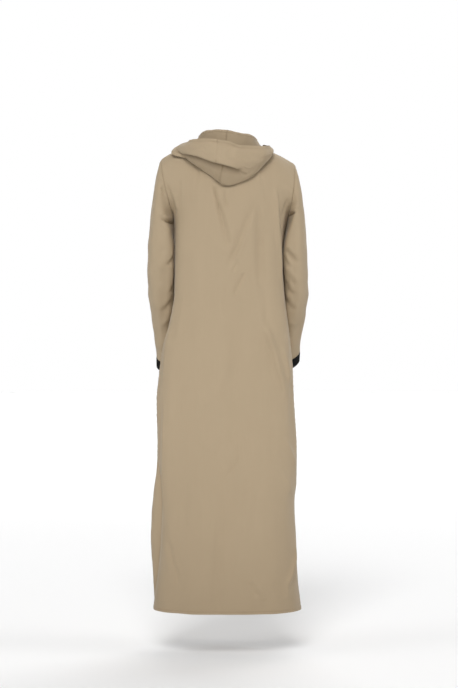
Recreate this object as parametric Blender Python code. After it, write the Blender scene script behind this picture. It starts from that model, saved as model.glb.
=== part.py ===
"""A hooded robe as it hangs when worn, with its hood thrown back.

Metres, +Z up. The front faces -Y and the wearer's left is +X. The origin lies between the
shoulders, where a wearer carries the robe. Each cut piece is a wall of cloth: a grid of points
on its outer face, and the same points moved in by the wall's thickness.
"""

import math

import bpy
import numpy as np

WALL = 0.0016
# How far apart the edges of a seam's two pieces are. The slanted seams need more, because
# their walls come nearer than their edges
SEAM_GAP = 0.0004
ARMHOLE_SEAM_GAP = 0.0007
NECK_SEAM_GAP = 0.0008
CUFF_WALL = 0.0024

# A seam's walls are mitred where its corner stands out by more than this, up to this much
CORNER_LEAST = 0.02
MITRE_LEAST = 0.6

# How many steps the grids have across and along the pieces, and how the curves are read
SHOULDER_COLUMNS = 7
NECK_COLUMNS = 14
UPPER_ROWS = 12
UPPER_ROWS_CROWD = 1.35
SLEEVE_CAP_ROWS = 5
HOOD_BACK_SPLIT = 2
CURVE_STEPS = 361
SHARP_DEGREES = 40

SLIT_TOP_Z = -0.91
HEM_Z = -1.386

LEFT, RIGHT = 1, -1
BACK, FRONT = 1, -1

CLOTH_COLOUR = (0.42, 0.34, 0.235)
CUFF_COLOUR = (0.012, 0.012, 0.013)
CLOTH_ROUGHNESS, CUFF_ROUGHNESS = 0.75, 0.9


def table(names, *rows):
    """A table of sections, as a dictionary with one array a column."""
    return dict(zip(names.split(), np.array(rows, float).T))


# The body's outline and depth at each height, and how square its back is there. The side
# seams lie at the widest point
BODY = table(
    "z left right back front widest square",
    (-0.205, 0.166, -0.178, 0.121, -0.119, 0.000, 2.6),
    (-0.255, 0.165, -0.168, 0.123, -0.120, 0.002, 3.0),
    (-0.320, 0.164, -0.162, 0.125, -0.120, 0.006, 3.3),
    (-0.430, 0.164, -0.167, 0.128, -0.119, 0.020, 3.4),
    (-0.520, 0.178, -0.176, 0.131, -0.121, 0.038, 3.4),
    (-0.600, 0.199, -0.185, 0.135, -0.126, 0.048, 3.2),
    (-0.670, 0.209, -0.191, 0.139, -0.129, 0.048, 3.0),
    (-0.760, 0.217, -0.194, 0.141, -0.131, 0.040, 2.9),
    (-0.910, 0.215, -0.203, 0.143, -0.135, 0.028, 2.7),
    (-1.000, 0.223, -0.203, 0.145, -0.139, 0.024, 2.6),
    (-1.060, 0.230, -0.197, 0.146, -0.141, 0.020, 2.5),
    (-1.180, 0.235, -0.202, 0.149, -0.146, 0.012, 2.5),
    (-1.300, 0.229, -0.208, 0.151, -0.150, 0.004, 2.5),
    (-1.386, 0.224, -0.217, 0.152, -0.152, 0.000, 2.5),
)
BODY_ROWS_Z = (
    -1.386, -1.35, -1.30, -1.24, -1.18, -1.12, -1.06, -1.00, -0.95, -0.91,
    -0.85, -0.79, -0.73, -0.67, -0.61, -0.56, -0.51, -0.46, -0.41, -0.36,
    -0.31, -0.26, -0.205,
)  # fmt: skip
FRONT_SQUARE = 1.9

# Below the top of the side slits: how far each panel's edge draws in and the right edges part,
# how far the front's left edge wraps round behind, and how far back the back's left edge lies
SLIT = table(
    "z back_left back_right front_left front_right parted wrap behind",
    (-1.386, 0.000, 0.000, 0.004, 0.010, 0.020, 0.000, 0.010),
    (-1.345, 0.005, 0.000, 0.001, 0.009, 0.019, 0.008, 0.015),
    (-1.303, 0.012, 0.001, 0.000, 0.008, 0.018, 0.018, 0.024),
    (-1.240, 0.024, 0.001, 0.000, 0.006, 0.016, 0.031, 0.038),
    (-1.180, 0.032, 0.001, 0.000, 0.005, 0.014, 0.040, 0.046),
    (-1.060, 0.033, 0.001, 0.000, 0.003, 0.010, 0.040, 0.046),
    (-1.000, 0.023, 0.001, 0.000, 0.001, 0.006, 0.029, 0.035),
    (-0.950, 0.009, 0.000, 0.000, 0.000, 0.003, 0.013, 0.018),
    (-0.910, 0.000, 0.000, 0.000, 0.000, 0.000, 0.000, 0.000),
)

# The neckline, and the shoulder tips where the sleeves are set in
NECK_X = 0.004
NECK_HALF_WIDTH = 0.075
NECK_POINT_Z = 0.010
NAPE_Y, NAPE_Z = 0.068, -0.006
NECK_DIP_POWER = 1.7
THROAT_Y, THROAT_Z = -0.078, -0.070
SHOULDER = {
    LEFT: {"tip_x": 0.205, "tip_z": -0.029, "crown": 0.014},
    RIGHT: {"tip_x": -0.198, "tip_z": -0.043, "crown": 0.008},
}

# How the cloth leaves the underarm level and reaches the shoulder or neckline, from the
# armhole (0) to the neck point (1) and the centre (2). Out is away from the middle
YOKE = {
    BACK: table(
        "place out deep up end_out end_deep end_up",
        (0.0, 0.03, 0.240, 0.05, -0.01, -0.24, 0.09),
        (0.5, 0.00, 0.060, 0.19, 0.02, -0.28, 0.05),
        (1.0, 0.00, 0.000, 0.23, 0.00, -0.29, 0.05),
        (1.4, 0.00, -0.002, 0.23, 0.00, -0.22, 0.09),
        (2.0, 0.00, -0.005, 0.23, 0.00, -0.15, 0.14),
    ),
    FRONT: table(
        "place out deep up end_out end_deep end_up",
        (0.0, 0.03, 0.220, 0.05, -0.01, -0.22, 0.09),
        (0.5, 0.00, 0.050, 0.19, 0.02, -0.26, 0.06),
        (1.0, 0.00, 0.000, 0.22, 0.00, -0.26, 0.07),
        (1.4, 0.00, 0.004, 0.18, 0.00, -0.17, 0.11),
        (2.0, 0.00, 0.005, 0.13, 0.00, -0.07, 0.10),
    ),
}

NECK_SLIT_LENGTH = 0.20
NECK_SLIT_HALF_WIDTH = 0.009
CENTRE_HALF_STRIP = 0.003

# Each sleeve's outline and depth below the cap, and how its sections lean
SLEEVE = {
    LEFT: table(
        "z outer inner back front rise_out rise_back",
        (-0.300, 0.2455, 0.1662, 0.056, -0.072, 0.00, 0.00),
        (-0.370, 0.2475, 0.1664, 0.047, -0.079, 0.00, 0.00),
        (-0.430, 0.2455, 0.1664, 0.034, -0.085, 0.00, -0.06),
        (-0.485, 0.2385, 0.1650, 0.016, -0.092, 0.03, -0.14),
        (-0.535, 0.2330, 0.1630, -0.006, -0.106, 0.06, -0.22),
        (-0.585, 0.2275, 0.1600, -0.030, -0.124, 0.10, -0.30),
        (-0.634, 0.2225, 0.1550, -0.054, -0.142, 0.14, -0.36),
        (-0.661, 0.2225, 0.1545, -0.066, -0.154, 0.14, -0.36),
    ),
    RIGHT: table(
        "z outer inner back front rise_out rise_back",
        (-0.300, -0.2360, -0.1665, 0.056, -0.072, 0.00, 0.00),
        (-0.370, -0.2390, -0.1675, 0.047, -0.079, 0.00, 0.00),
        (-0.430, -0.2405, -0.1695, 0.034, -0.085, 0.03, -0.06),
        (-0.485, -0.2355, -0.1620, 0.016, -0.092, 0.10, -0.14),
        (-0.535, -0.2290, -0.1560, -0.006, -0.106, 0.20, -0.22),
        (-0.585, -0.2200, -0.1490, -0.030, -0.124, 0.32, -0.30),
        (-0.628, -0.2175, -0.1450, -0.052, -0.140, 0.42, -0.34),
        (-0.655, -0.2165, -0.1440, -0.064, -0.152, 0.45, -0.34),
    ),
}
SLEEVE_FULLNESS = 2.1
SLEEVE_ROWS_Z = (-0.30, -0.345, -0.39, -0.435, -0.48, -0.525, -0.575)
CUFF_ROWS_Z = {LEFT: (-0.634, -0.6475, -0.661), RIGHT: (-0.628, -0.6415, -0.655)}

# How the cloth leaves the armhole, from the underarm (0) by the back, the tip and the front
CAP = table(
    "place out deep up",
    (0.00, 0.016, 0.000, -0.10),
    (0.25, 0.090, 0.030, -0.10),
    (0.50, 0.060, 0.000, -0.09),
    (0.75, 0.090, -0.030, -0.10),
    (1.00, 0.016, 0.000, -0.10),
)
CAP_END_UP = -0.12
CUFF_PROUD = 0.0012

# The hood's profile round the neck, in degrees from the left shoulder by the back. Each
# pair is a distance from the neck's middle and a height: the fold that stands against the
# neck, two points of the layer that falls inside, the pouch's lowest point, the outer wall
# and its rim, which is the edge of the face opening
HOOD = table(
    "turn fold_r fold_z fall_r fall_z inner_r inner_z low_r low_z wall_r wall_z rim_r rim_z round",
    (-90, 0.084, -0.045, 0.090, -0.049, 0.097, -0.060, 0.104, -0.068, 0.110, -0.060, 0.110, -0.052, 0.0030),
    (-60, 0.084, -0.018, 0.092, -0.024, 0.103, -0.040, 0.112, -0.052, 0.118, -0.044, 0.117, -0.034, 0.0035),
    (-30, 0.082, 0.026, 0.096, 0.006, 0.118, -0.014, 0.134, -0.026, 0.136, -0.010, 0.120, 0.004, 0.0040),
    (0, 0.079, 0.0455, 0.092, 0.0300, 0.141, 0.0092, 0.167, -0.0030, 0.148, 0.0135, 0.107, 0.0290, 0.0030),
    (14, 0.0785, 0.0500, 0.092, 0.0290, 0.136, -0.0008, 0.173, -0.0165, 0.152, 0.0060, 0.115, 0.0265, 0.0040),
    (30, 0.078, 0.053, 0.094, 0.020, 0.118, -0.016, 0.142, -0.036, 0.151, -0.006, 0.129, 0.019, 0.0055),
    (60, 0.078, 0.054, 0.097, 0.006, 0.114, -0.045, 0.129, -0.081, 0.152, -0.038, 0.148, 0.020, 0.0075),
    (90, 0.079, 0.050, 0.101, 0.000, 0.116, -0.070, 0.134, -0.121, 0.162, -0.064, 0.155, 0.010, 0.0085),
    (105, 0.079, 0.047, 0.100, -0.001, 0.117, -0.066, 0.136, -0.113, 0.161, -0.058, 0.156, -0.002, 0.0083),
    (120, 0.079, 0.0435, 0.099, 0.000, 0.118, -0.056, 0.137, -0.098, 0.160, -0.049, 0.156, -0.002, 0.0080),
    (150, 0.080, 0.0405, 0.097, 0.008, 0.120, -0.019, 0.142, -0.041, 0.155, -0.015, 0.144, 0.004, 0.0060),
    (180, 0.080, 0.036, 0.098, 0.013, 0.118, 0.003, 0.138, -0.005, 0.129, 0.0060, 0.106, 0.0145, 0.0028),
    (210, 0.082, 0.024, 0.096, 0.004, 0.116, -0.014, 0.132, -0.026, 0.134, -0.011, 0.118, 0.002, 0.0040),
    (240, 0.084, -0.018, 0.092, -0.024, 0.103, -0.040, 0.112, -0.052, 0.118, -0.044, 0.117, -0.034, 0.0035),
    (270, 0.084, -0.045, 0.090, -0.049, 0.097, -0.060, 0.104, -0.068, 0.110, -0.060, 0.110, -0.052, 0.0030),
)
FOLD_ROUND = 0.0035
ROUND_DEPTH = 0.7
# How many rows the hood's grid has between one knot of the profile and the next: the foot,
# the fold's three, fall, inner, the low point's three, wall and rim
HOOD_ROWS = (2, 1, 1, 2, 2, 3, 1, 1, 4, 4)
FOLD_KNOT, LOW_KNOT = 2, 7
# Angles below the throat's belong to the right half, which counts on by the back
THROAT_TURN = -95
# From the fold down to the low point the centre seam slips round towards the left shoulder
CENTRE_SEAM_TURN, CENTRE_SEAM_SLIP = 90, -11

# The tuck across the outer wall, at each angle: its height, and how far the cloth above it
# bulges out over the cloth below
TUCK = table(
    "turn z depth",
    (0, 0.002, 0.000),
    (16, -0.006, 0.004),
    (37, -0.015, 0.007),
    (58, -0.029, 0.009),
    (75, -0.046, 0.009),
    (88, -0.057, 0.009),
    (100, -0.067, 0.007),
    (109, -0.087, 0.004),
    (125, -0.102, 0.000),
)
TUCK_STEP, TUCK_FADE = 0.020, 0.030
# The largest folds, seen from behind or from in front: where each runs, how far its middle
# bows sideways, how wide it is and how far it stands out of the cloth or sinks into it
BACK_FOLDS = table(
    "from_x from_z to_x to_z bow width height",
    (0.044, -0.120, 0.003, -0.350, -0.006, 0.014, -0.0050),
    (-0.059, -0.175, -0.004, -0.350, 0.006, 0.016, -0.0040),
    (-0.086, -0.150, -0.088, -0.470, 0.002, 0.026, -0.0060),
    (-0.143, -0.130, -0.160, -0.540, -0.006, 0.014, 0.0060),
    (-0.092, -0.500, -0.168, -0.770, -0.010, 0.018, 0.0060),
    (-0.118, -0.580, -0.158, -0.760, -0.006, 0.012, -0.0050),
    (-0.024, -0.520, -0.020, -0.960, 0.004, 0.022, -0.0035),
    (0.120, -0.300, 0.126, -0.620, 0.004, 0.024, -0.0035),
    (0.166, -0.620, 0.188, -1.100, 0.004, 0.014, 0.0040),
    (0.070, -0.700, 0.092, -1.386, 0.004, 0.034, 0.0040),
    (-0.110, -0.860, -0.130, -1.386, 0.004, 0.034, 0.0040),
)
FRONT_FOLDS = table(
    "from_x from_z to_x to_z bow width height",
    (0.020, -0.270, 0.040, -0.760, 0.004, 0.022, -0.0045),
    (-0.024, -0.280, -0.060, -0.700, 0.004, 0.022, -0.0040),
    (0.128, -0.140, 0.085, -0.360, 0.006, 0.018, -0.0050),
    (-0.132, -0.140, -0.090, -0.370, 0.006, 0.018, -0.0050),
    (0.100, -0.520, 0.150, -0.800, 0.008, 0.018, 0.0055),
    (-0.098, -0.540, -0.140, -0.820, 0.008, 0.018, 0.0055),
    (0.080, -0.760, 0.104, -1.386, 0.004, 0.034, 0.0045),
    (-0.050, -0.720, -0.064, -1.386, 0.004, 0.034, -0.0045),
    (0.000, -0.800, 0.012, -1.386, 0.004, 0.030, 0.0040),
    (-0.130, -0.850, -0.150, -1.386, 0.004, 0.030, 0.0040),
)
FOLD_EASE = 0.25
EDGE_EASE_COLUMNS = 3


def read(rows, column, at, key="z"):
    """Reads a table's column between its rows, along a smooth curve that doesn't overshoot."""
    order = np.argsort(rows[key])
    xs, ys = rows[key][order], rows[column][order]
    steps = np.diff(xs)
    slopes = np.diff(ys) / steps
    bends = np.zeros(len(xs))
    both = slopes[:-1] * slopes[1:]
    total = slopes[:-1] + slopes[1:]
    same = both > 0
    bends[1:-1][same] = 2 * both[same] / total[same]
    bends[0], bends[-1] = slopes[0], slopes[-1]
    at = np.clip(np.asarray(at, float), xs[0], xs[-1])
    i = np.clip(np.searchsorted(xs, at, side="right") - 1, 0, len(steps) - 1)
    t = (at - xs[i]) / steps[i]
    rise = (3 - 2 * t) * t * t
    leave = t * (1 - t) ** 2 * steps[i] * bends[i]
    arrive = t * t * (t - 1) * steps[i] * bends[i + 1]
    return ys[i] * (1 - rise) + ys[i + 1] * rise + leave + arrive


def unit(vectors):
    lengths = np.linalg.norm(vectors, axis=-1, keepdims=True)
    return vectors / np.maximum(lengths, 1e-12)


def dot(a, b):
    return (a * b).sum(axis=-1, keepdims=True)


def bow(start, leave, end, arrive, t):
    """A curve from start to end that leaves and arrives along the given vectors."""
    t = np.asarray(t)[:, None, None]
    rise = (3 - 2 * t) * t * t
    return (
        start * (1 - rise)
        + end * rise
        + leave * t * (1 - t) ** 2
        + arrive * t * t * (t - 1)
    )


def spaced(points, fractions):
    """The points that lie at these fractions of a curve's length."""
    lengths = np.linalg.norm(np.diff(points, axis=0), axis=1)
    travelled = np.concatenate([[0], np.cumsum(lengths)]) / lengths.sum()
    return np.stack([np.interp(fractions, travelled, points[:, k]) for k in range(3)], 1)


def signed_power(value, power):
    return np.sign(value) * np.abs(value) ** power


def half_section(z, side, fractions):
    """The back or front half of the body at a height, from the left edge to the right one."""
    edge = "back" if side == BACK else "front"
    left = read(BODY, "left", z)
    right = read(BODY, "right", z)
    widest = read(BODY, "widest", z)
    left_back = right_back = wrap = 0.0
    if z < SLIT_TOP_Z:
        left = left - read(SLIT, edge + "_left", z)
        right = right + read(SLIT, edge + "_right", z)
        right_back = side * read(SLIT, "parted", z)
        if side == BACK:
            left_back = read(SLIT, "behind", z)
        else:
            wrap = read(SLIT, "wrap", z)
    power = 2 / (read(BODY, "square", z) if side == BACK else FRONT_SQUARE)
    turn = np.linspace(0, math.pi, CURVE_STEPS)
    x = (left + right) / 2 + (left - right) / 2 * signed_power(np.cos(turn), power)
    start = widest + right_back + (left_back - right_back) * (1 + np.cos(turn)) / 2
    y = start + (read(BODY, edge, z) - start) * np.sin(turn).clip(0) ** power
    if wrap > 0:
        round_behind = np.linspace(math.pi / 2, 0, CURVE_STEPS)[:-1]
        x = np.concatenate([left - wrap * (1 - np.cos(round_behind)), x])
        y = np.concatenate([widest + wrap * np.sin(round_behind), y])
    return spaced(np.stack([x, y, np.full_like(x, z)], 1), fractions)


def neckline(turn):
    """The neckline at angles from the left neck point, by the back or by the front."""
    across, along = np.cos(turn), np.sin(turn)
    x = NECK_X + NECK_HALF_WIDTH * across
    y = np.where(along > 0, NAPE_Y, -THROAT_Y) * along
    dip = np.where(along > 0, NAPE_Z - NECK_POINT_Z, THROAT_Z - NECK_POINT_Z)
    return np.stack([x, y, NECK_POINT_Z + dip * np.abs(along) ** NECK_DIP_POWER], 1)


def shoulder(side, share):
    """The shoulder seam, from the tip (0) to the neck point (1)."""
    tip = SHOULDER[side]
    x = tip["tip_x"] + (NECK_X + side * NECK_HALF_WIDTH - tip["tip_x"]) * share
    z = tip["tip_z"] + (NECK_POINT_Z - tip["tip_z"]) * share
    z = z + tip["crown"] * 4 * share * (1 - share)
    return np.stack([x, np.zeros_like(x), z], 1)


def top_edge(side, shoulder_shares, neck_turns):
    """A panel's top edge: the left shoulder, half of the neckline and the right shoulder."""
    left = shoulder(LEFT, shoulder_shares)
    right = shoulder(RIGHT, shoulder_shares)[::-1]
    return np.concatenate([left[:-1], neckline(side * neck_turns), right[1:]])


def body_panel(side, shoulder_shares, neck_turns, rows_z, upper_rows):
    """A panel's outer face, in rows from the hem up and columns from left to right."""
    top = top_edge(side, shoulder_shares, neck_turns)
    lengths = np.linalg.norm(np.diff(top, axis=0), axis=1)
    fractions = np.concatenate([[0], np.cumsum(lengths)]) / lengths.sum()
    lower = np.stack([half_section(z, side, fractions) for z in rows_z])
    count = len(shoulder_shares) - 1
    middle = 1 + np.sin(neck_turns[1:-1])
    place = np.concatenate([shoulder_shares, middle, shoulder_shares[::-1]])
    outward = np.where(np.arange(len(top)) <= count + len(middle) / 2, LEFT, RIGHT)

    def heading(prefix):
        out = read(YOKE[side], prefix + "out", place, "place") * outward
        deep = read(YOKE[side], prefix + "deep", place, "place") * side
        return np.stack([out, deep, read(YOKE[side], prefix + "up", place, "place")], 1)

    steps = 1 - np.linspace(1, 0, upper_rows + 1)[1:] ** UPPER_ROWS_CROWD
    upper = bow(lower[-1], heading(""), top, heading("end_"), steps)
    return np.concatenate([lower, upper])


def relief(points, folds):
    """How far folds move each point out of the cloth."""
    total = np.zeros(points.shape[:-1])
    for k in range(len(folds["width"])):
        start = np.array([folds["from_x"][k], folds["from_z"][k]])
        along = np.array([folds["to_x"][k], folds["to_z"][k]]) - start
        length = np.linalg.norm(along)
        along = along / length
        place = points[..., [0, 2]] - start
        share = (place @ along / length).clip(0, 1)
        across = place @ np.array([-along[1], along[0]]) - folds["bow"][k] * 4 * share * (1 - share)
        beyond = place @ along - share * length
        ease = (np.minimum(share, 1 - share) / FOLD_EASE).clip(0, 1)
        if folds["to_z"][k] <= HEM_Z:
            ease = (share / FOLD_EASE).clip(0, 1)
        shape = np.exp(-(across**2 + beyond**2) / folds["width"][k] ** 2)
        total += folds["height"][k] * shape * ease * ease * (3 - 2 * ease)
    return total


def folded(grid, facing, folds):
    """The grid with its folds raised, fading out towards the seams."""
    columns = np.gradient(grid, axis=1)
    rows = np.gradient(grid, axis=0)
    normal = unit(np.cross(columns, rows)) * facing
    number = np.arange(grid.shape[1])
    side = (np.minimum(number, number[::-1]) / EDGE_EASE_COLUMNS).clip(0, 1)
    number = np.arange(grid.shape[0])[::-1]
    top = (number / EDGE_EASE_COLUMNS).clip(0, 1)
    fade = top[:, None] * side[None, :]
    return grid + normal * (relief(grid, folds) * fade)[..., None]


def sleeve_rings(side, armhole, cap_rows, rows_z, cuff_z):
    """A sleeve's outer face: rings from the armhole down to the cuff's far edge."""
    rows = SLEEVE[side]
    places = np.arange(len(armhole)) / len(armhole)

    def ring(z):
        outer, inner = read(rows, "outer", z), read(rows, "inner", z)
        back, front = read(rows, "back", z), read(rows, "front", z)
        dense = math.pi + np.linspace(0, 2 * math.pi, 2 * CURVE_STEPS - 1)
        power = 2 / SLEEVE_FULLNESS
        x = (outer - inner) / 2 * signed_power(np.cos(dense), power)
        y = -(back - front) / 2 * signed_power(np.sin(dense), power)
        lean = read(rows, "rise_out", z) * side * x + read(rows, "rise_back", z) * y
        points = np.stack([(outer + inner) / 2 + x, (back + front) / 2 + y, z + lean], 1)
        return spaced(points, places)

    first = ring(rows_z[0])
    leave = np.stack([read(CAP, name, places, "place") for name in ("out", "deep", "up")], 1)
    leave[:, 0] *= side
    arrive = np.array([0, 0, CAP_END_UP])
    steps = np.linspace(0, 1, cap_rows + 1)
    cap = bow(armhole, leave, first, arrive, steps)
    lower = np.stack([ring(z) for z in rows_z[1:]])
    return np.concatenate([cap, lower]), np.stack([ring(z) for z in cuff_z])


def through(knots, steps):
    """A smooth curve through the knots, read at steps that count them."""
    before = np.concatenate([[2 * knots[0] - knots[1]], knots, [2 * knots[-1] - knots[-2]]])
    spans = np.linalg.norm(np.diff(before, axis=0), axis=1) ** 0.5
    times = np.concatenate([[0], np.cumsum(spans)])
    i = np.clip(np.floor(steps).astype(int), 0, len(knots) - 2) + 1
    t = (times[i] + (steps - i + 1) * (times[i + 1] - times[i]))[:, None]
    t0, t1, t2, t3 = (times[i + k][:, None] for k in (-1, 0, 1, 2))
    p0, p1, p2, p3 = (before[i + k] for k in (-1, 0, 1, 2))
    a1 = ((t1 - t) * p0 + (t - t0) * p1) / (t1 - t0)
    a2 = ((t2 - t) * p1 + (t - t1) * p2) / (t2 - t1)
    a3 = ((t3 - t) * p2 + (t - t2) * p3) / (t3 - t2)
    b1 = ((t2 - t) * a1 + (t - t0) * a2) / (t2 - t0)
    b2 = ((t3 - t) * a2 + (t - t1) * a3) / (t3 - t1)
    return ((t2 - t) * b1 + (t - t1) * b2) / (t2 - t1)


def rounded(before, corner, after, size):
    """A corner's three knots, for a turn as wide as the size on each side."""
    inward = unit((before + after) / 2 - corner)
    across = np.array([inward[1], -inward[0]])
    if np.dot(after - before, across) < 0:
        across = -across
    sides = [corner + sign * size * across + ROUND_DEPTH * size * inward for sign in (-1, 1)]
    return [sides[0], corner, sides[1]]


def hood_profile(foot_r, foot_z, turn):
    """The knots of the hood's profile at an angle, as distances from the middle and heights."""
    knot = {}
    for name in ("fold", "fall", "inner", "low", "wall", "rim"):
        knot[name] = np.array([read(HOOD, name + part, turn, "turn") for part in ("_r", "_z")])
    foot = np.array([foot_r, foot_z])
    knots = [foot, *rounded(foot, knot["fold"], knot["fall"], FOLD_ROUND), knot["fall"]]
    size = read(HOOD, "round", turn, "turn")
    knots += [knot["inner"], *rounded(knot["inner"], knot["low"], knot["wall"], size)]
    return np.array([*knots, knot["wall"], knot["rim"]])


def hood_half(seam, side, rows_per_knot):
    """Half of the hood's outer face, in rows from the neck seam to the rim."""
    steps = np.concatenate([k + np.arange(n) / n for k, n in enumerate(rows_per_knot)])
    steps = np.append(steps, len(rows_per_knot))
    slip = ((steps - FOLD_KNOT) / (LOW_KNOT - FOLD_KNOT)).clip(0, 1)
    slip = CENTRE_SEAM_SLIP * slip * slip * (3 - 2 * slip)
    columns = []
    for foot in seam:
        turn = math.degrees(math.atan2(foot[1], foot[0] - NECK_X))
        turn += 360 if turn < THROAT_TURN else 0
        away = (turn - CENTRE_SEAM_TURN) / (-90 if side == LEFT else 90)
        turns = turn + slip * min(max(1 - away, 0), 1) ** 2
        foot_r = math.hypot(foot[0] - NECK_X, foot[1])
        column = []
        for at, step in zip(turns, steps):
            r, z = through(hood_profile(foot_r, foot[2], at), np.array([step]))[0]
            if step > LOW_KNOT:
                above = z - read(TUCK, "z", at, "turn")
                rise = min(max(above / TUCK_STEP + 0.5, 0), 1)
                fade = math.exp(-max(above, 0) / TUCK_FADE)
                r += read(TUCK, "depth", at, "turn") * rise * rise * (3 - 2 * rise) * fade
            angle = math.radians(at)
            column.append((NECK_X + r * math.cos(angle), r * math.sin(angle), z))
        columns.append(column)
    return np.array(columns).transpose(1, 0, 2)


class Panel:
    """One cut piece: outer and inner grids of points, and the faces left out of them."""

    def __init__(self, name, outer, facing, around=False, wall=WALL):
        self.name = name
        self.outer = outer
        self.facing = facing
        self.around = around
        self.wall = wall
        self.open = set()
        self.normal = self.normals()
        self.inner = -wall * self.normal
        self.shift = np.zeros_like(outer)

    def normals(self):
        if self.around:
            columns = np.roll(self.outer, -1, 1) - np.roll(self.outer, 1, 1)
        else:
            columns = np.gradient(self.outer, axis=1)
        rows = np.gradient(self.outer, axis=0)
        return unit(np.cross(columns, rows)) * self.facing

    def build(self, colour, roughness):
        outer = self.outer + self.shift
        inner = outer + self.inner
        rows, columns = outer.shape[:2]
        points = np.concatenate([outer.reshape(-1, 3), inner.reshape(-1, 3)])
        behind = rows * columns
        front_faces = []
        for i in range(rows - 1):
            for j in range(columns if self.around else columns - 1):
                if (i, j) in self.open:
                    continue
                k = (j + 1) % columns
                a, b = i * columns + j, i * columns + k
                c, d = b + columns, a + columns
                # Both faces of the wall are split along the shorter way across, so it stays even
                across = np.linalg.norm(points[c] - points[a]) - np.linalg.norm(points[d] - points[b])
                split = [[a, b, c], [a, c, d]] if across < 0 else [[a, b, d], [b, c, d]]
                front_faces += [face if self.facing > 0 else face[::-1] for face in split]
        edges = {}
        for face in front_faces:
            for a, b in zip(face, face[1:] + face[:1]):
                edges[(a, b)] = True
        faces = list(front_faces)
        faces += [[behind + v for v in face[::-1]] for face in front_faces]
        for a, b in edges:
            if (b, a) not in edges:
                faces.append([b, a, behind + a, behind + b])
        used = sorted({v for face in faces for v in face})
        place = {v: n for n, v in enumerate(used)}
        mesh = bpy.data.meshes.new(self.name)
        mesh.from_pydata(points[used].tolist(), [], [[place[v] for v in f] for f in faces])
        mesh.shade_smooth()
        mesh.set_sharp_from_angle(angle=math.radians(SHARP_DEGREES))
        mesh.materials.append(material(self.name, colour, roughness))
        piece = bpy.data.objects.new(self.name, mesh)
        bpy.context.collection.objects.link(piece)
        return piece


def sew(one, edge_one, next_one, two, edge_two, next_two, gap=SEAM_GAP):
    """Faces two edges across the seam's gap, and mitres their walls on an outer corner."""
    here = one.outer[edge_one]
    into_one = unit(one.outer[next_one] - here)
    into_two = unit(two.outer[next_two] - two.outer[edge_two])
    apart = unit(into_one - into_two)
    one.shift[edge_one] += apart * gap / 2
    two.shift[edge_two] -= apart * gap / 2
    normal_one, normal_two = one.normal[edge_one], two.normal[edge_two]
    shared = unit(normal_one + normal_two)
    corner = dot(normal_two, into_one) < CORNER_LEAST
    for piece, edge, own in ((one, edge_one, normal_one), (two, edge_two, normal_two)):
        mitre = shared / np.maximum(dot(shared, own), MITRE_LEAST)
        piece.inner[edge] = np.where(corner, -piece.wall * mitre, piece.inner[edge])


def share_corner(*corners):
    """Gives pieces that meet at one point the same wall there."""
    shared = unit(sum(piece.normal[place] for piece, place in corners))
    for piece, place in corners:
        lean = max(dot(shared, piece.normal[place])[0], MITRE_LEAST)
        piece.inner[place] = -piece.wall * shared / lean


def material(name, colour, roughness):
    made = bpy.data.materials.new(name)
    made.use_nodes = True
    shader = made.node_tree.nodes["Principled BSDF"]
    shader.inputs["Base Color"].default_value = (*colour, 1)
    shader.inputs["Roughness"].default_value = roughness
    shader.inputs["Metallic"].default_value = 0
    return made


def make_body():
    shares = np.linspace(0, 1, SHOULDER_COLUMNS + 1)
    turns = np.linspace(0, math.pi, NECK_COLUMNS + 1)
    grid = body_panel(BACK, shares, turns, BODY_ROWS_Z, UPPER_ROWS)
    back = Panel("back_panel", folded(grid, 1, BACK_FOLDS), 1)
    # The front has two columns at its centre, with the neck slit between them
    half = NECK_COLUMNS // 2
    strip = math.asin(NECK_SLIT_HALF_WIDTH / NECK_HALF_WIDTH)
    centre = [math.pi / 2 - strip, math.pi / 2 + strip]
    split = np.concatenate([turns[:half], centre, turns[half + 1 :]])
    grid = body_panel(FRONT, shares, split, BODY_ROWS_Z, UPPER_ROWS)
    grid = folded(grid, -1, FRONT_FOLDS)
    first = SHOULDER_COLUMNS + half
    middle = (grid[:, first] + grid[:, first + 1]) / 2
    slit_foot = THROAT_Z - NECK_SLIT_LENGTH
    widening = ((middle[:, 2] - slit_foot) / NECK_SLIT_LENGTH).clip(0, 1)
    spread = CENTRE_HALF_STRIP + (NECK_SLIT_HALF_WIDTH - CENTRE_HALF_STRIP) * widening
    for column, sign in ((first, 1), (first + 1, -1)):
        grid[:, column] = middle
        grid[:, column, 0] += sign * spread
    front = Panel("front_panel", grid, -1)
    for row in range(len(grid) - 1):
        if middle[row, 2] >= slit_foot:
            front.open.add((row, first))
    return back, front


def join_body(back, front):
    """The side seams above the slits, and the shoulder seams."""
    slit_row = BODY_ROWS_Z.index(SLIT_TOP_Z)
    underarm_row = len(BODY_ROWS_Z) - 1
    side = slice(slit_row, underarm_row + 1)
    for edge, beside in ((0, 1), (-1, -2)):
        sew(back, (side, edge), (side, beside), front, (side, edge), (side, beside))
    seam = SHOULDER_COLUMNS + 1
    for columns in (slice(0, seam), slice(-seam, None)):
        sew(back, (-1, columns), (-2, columns), front, (-1, columns), (-2, columns))


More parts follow.
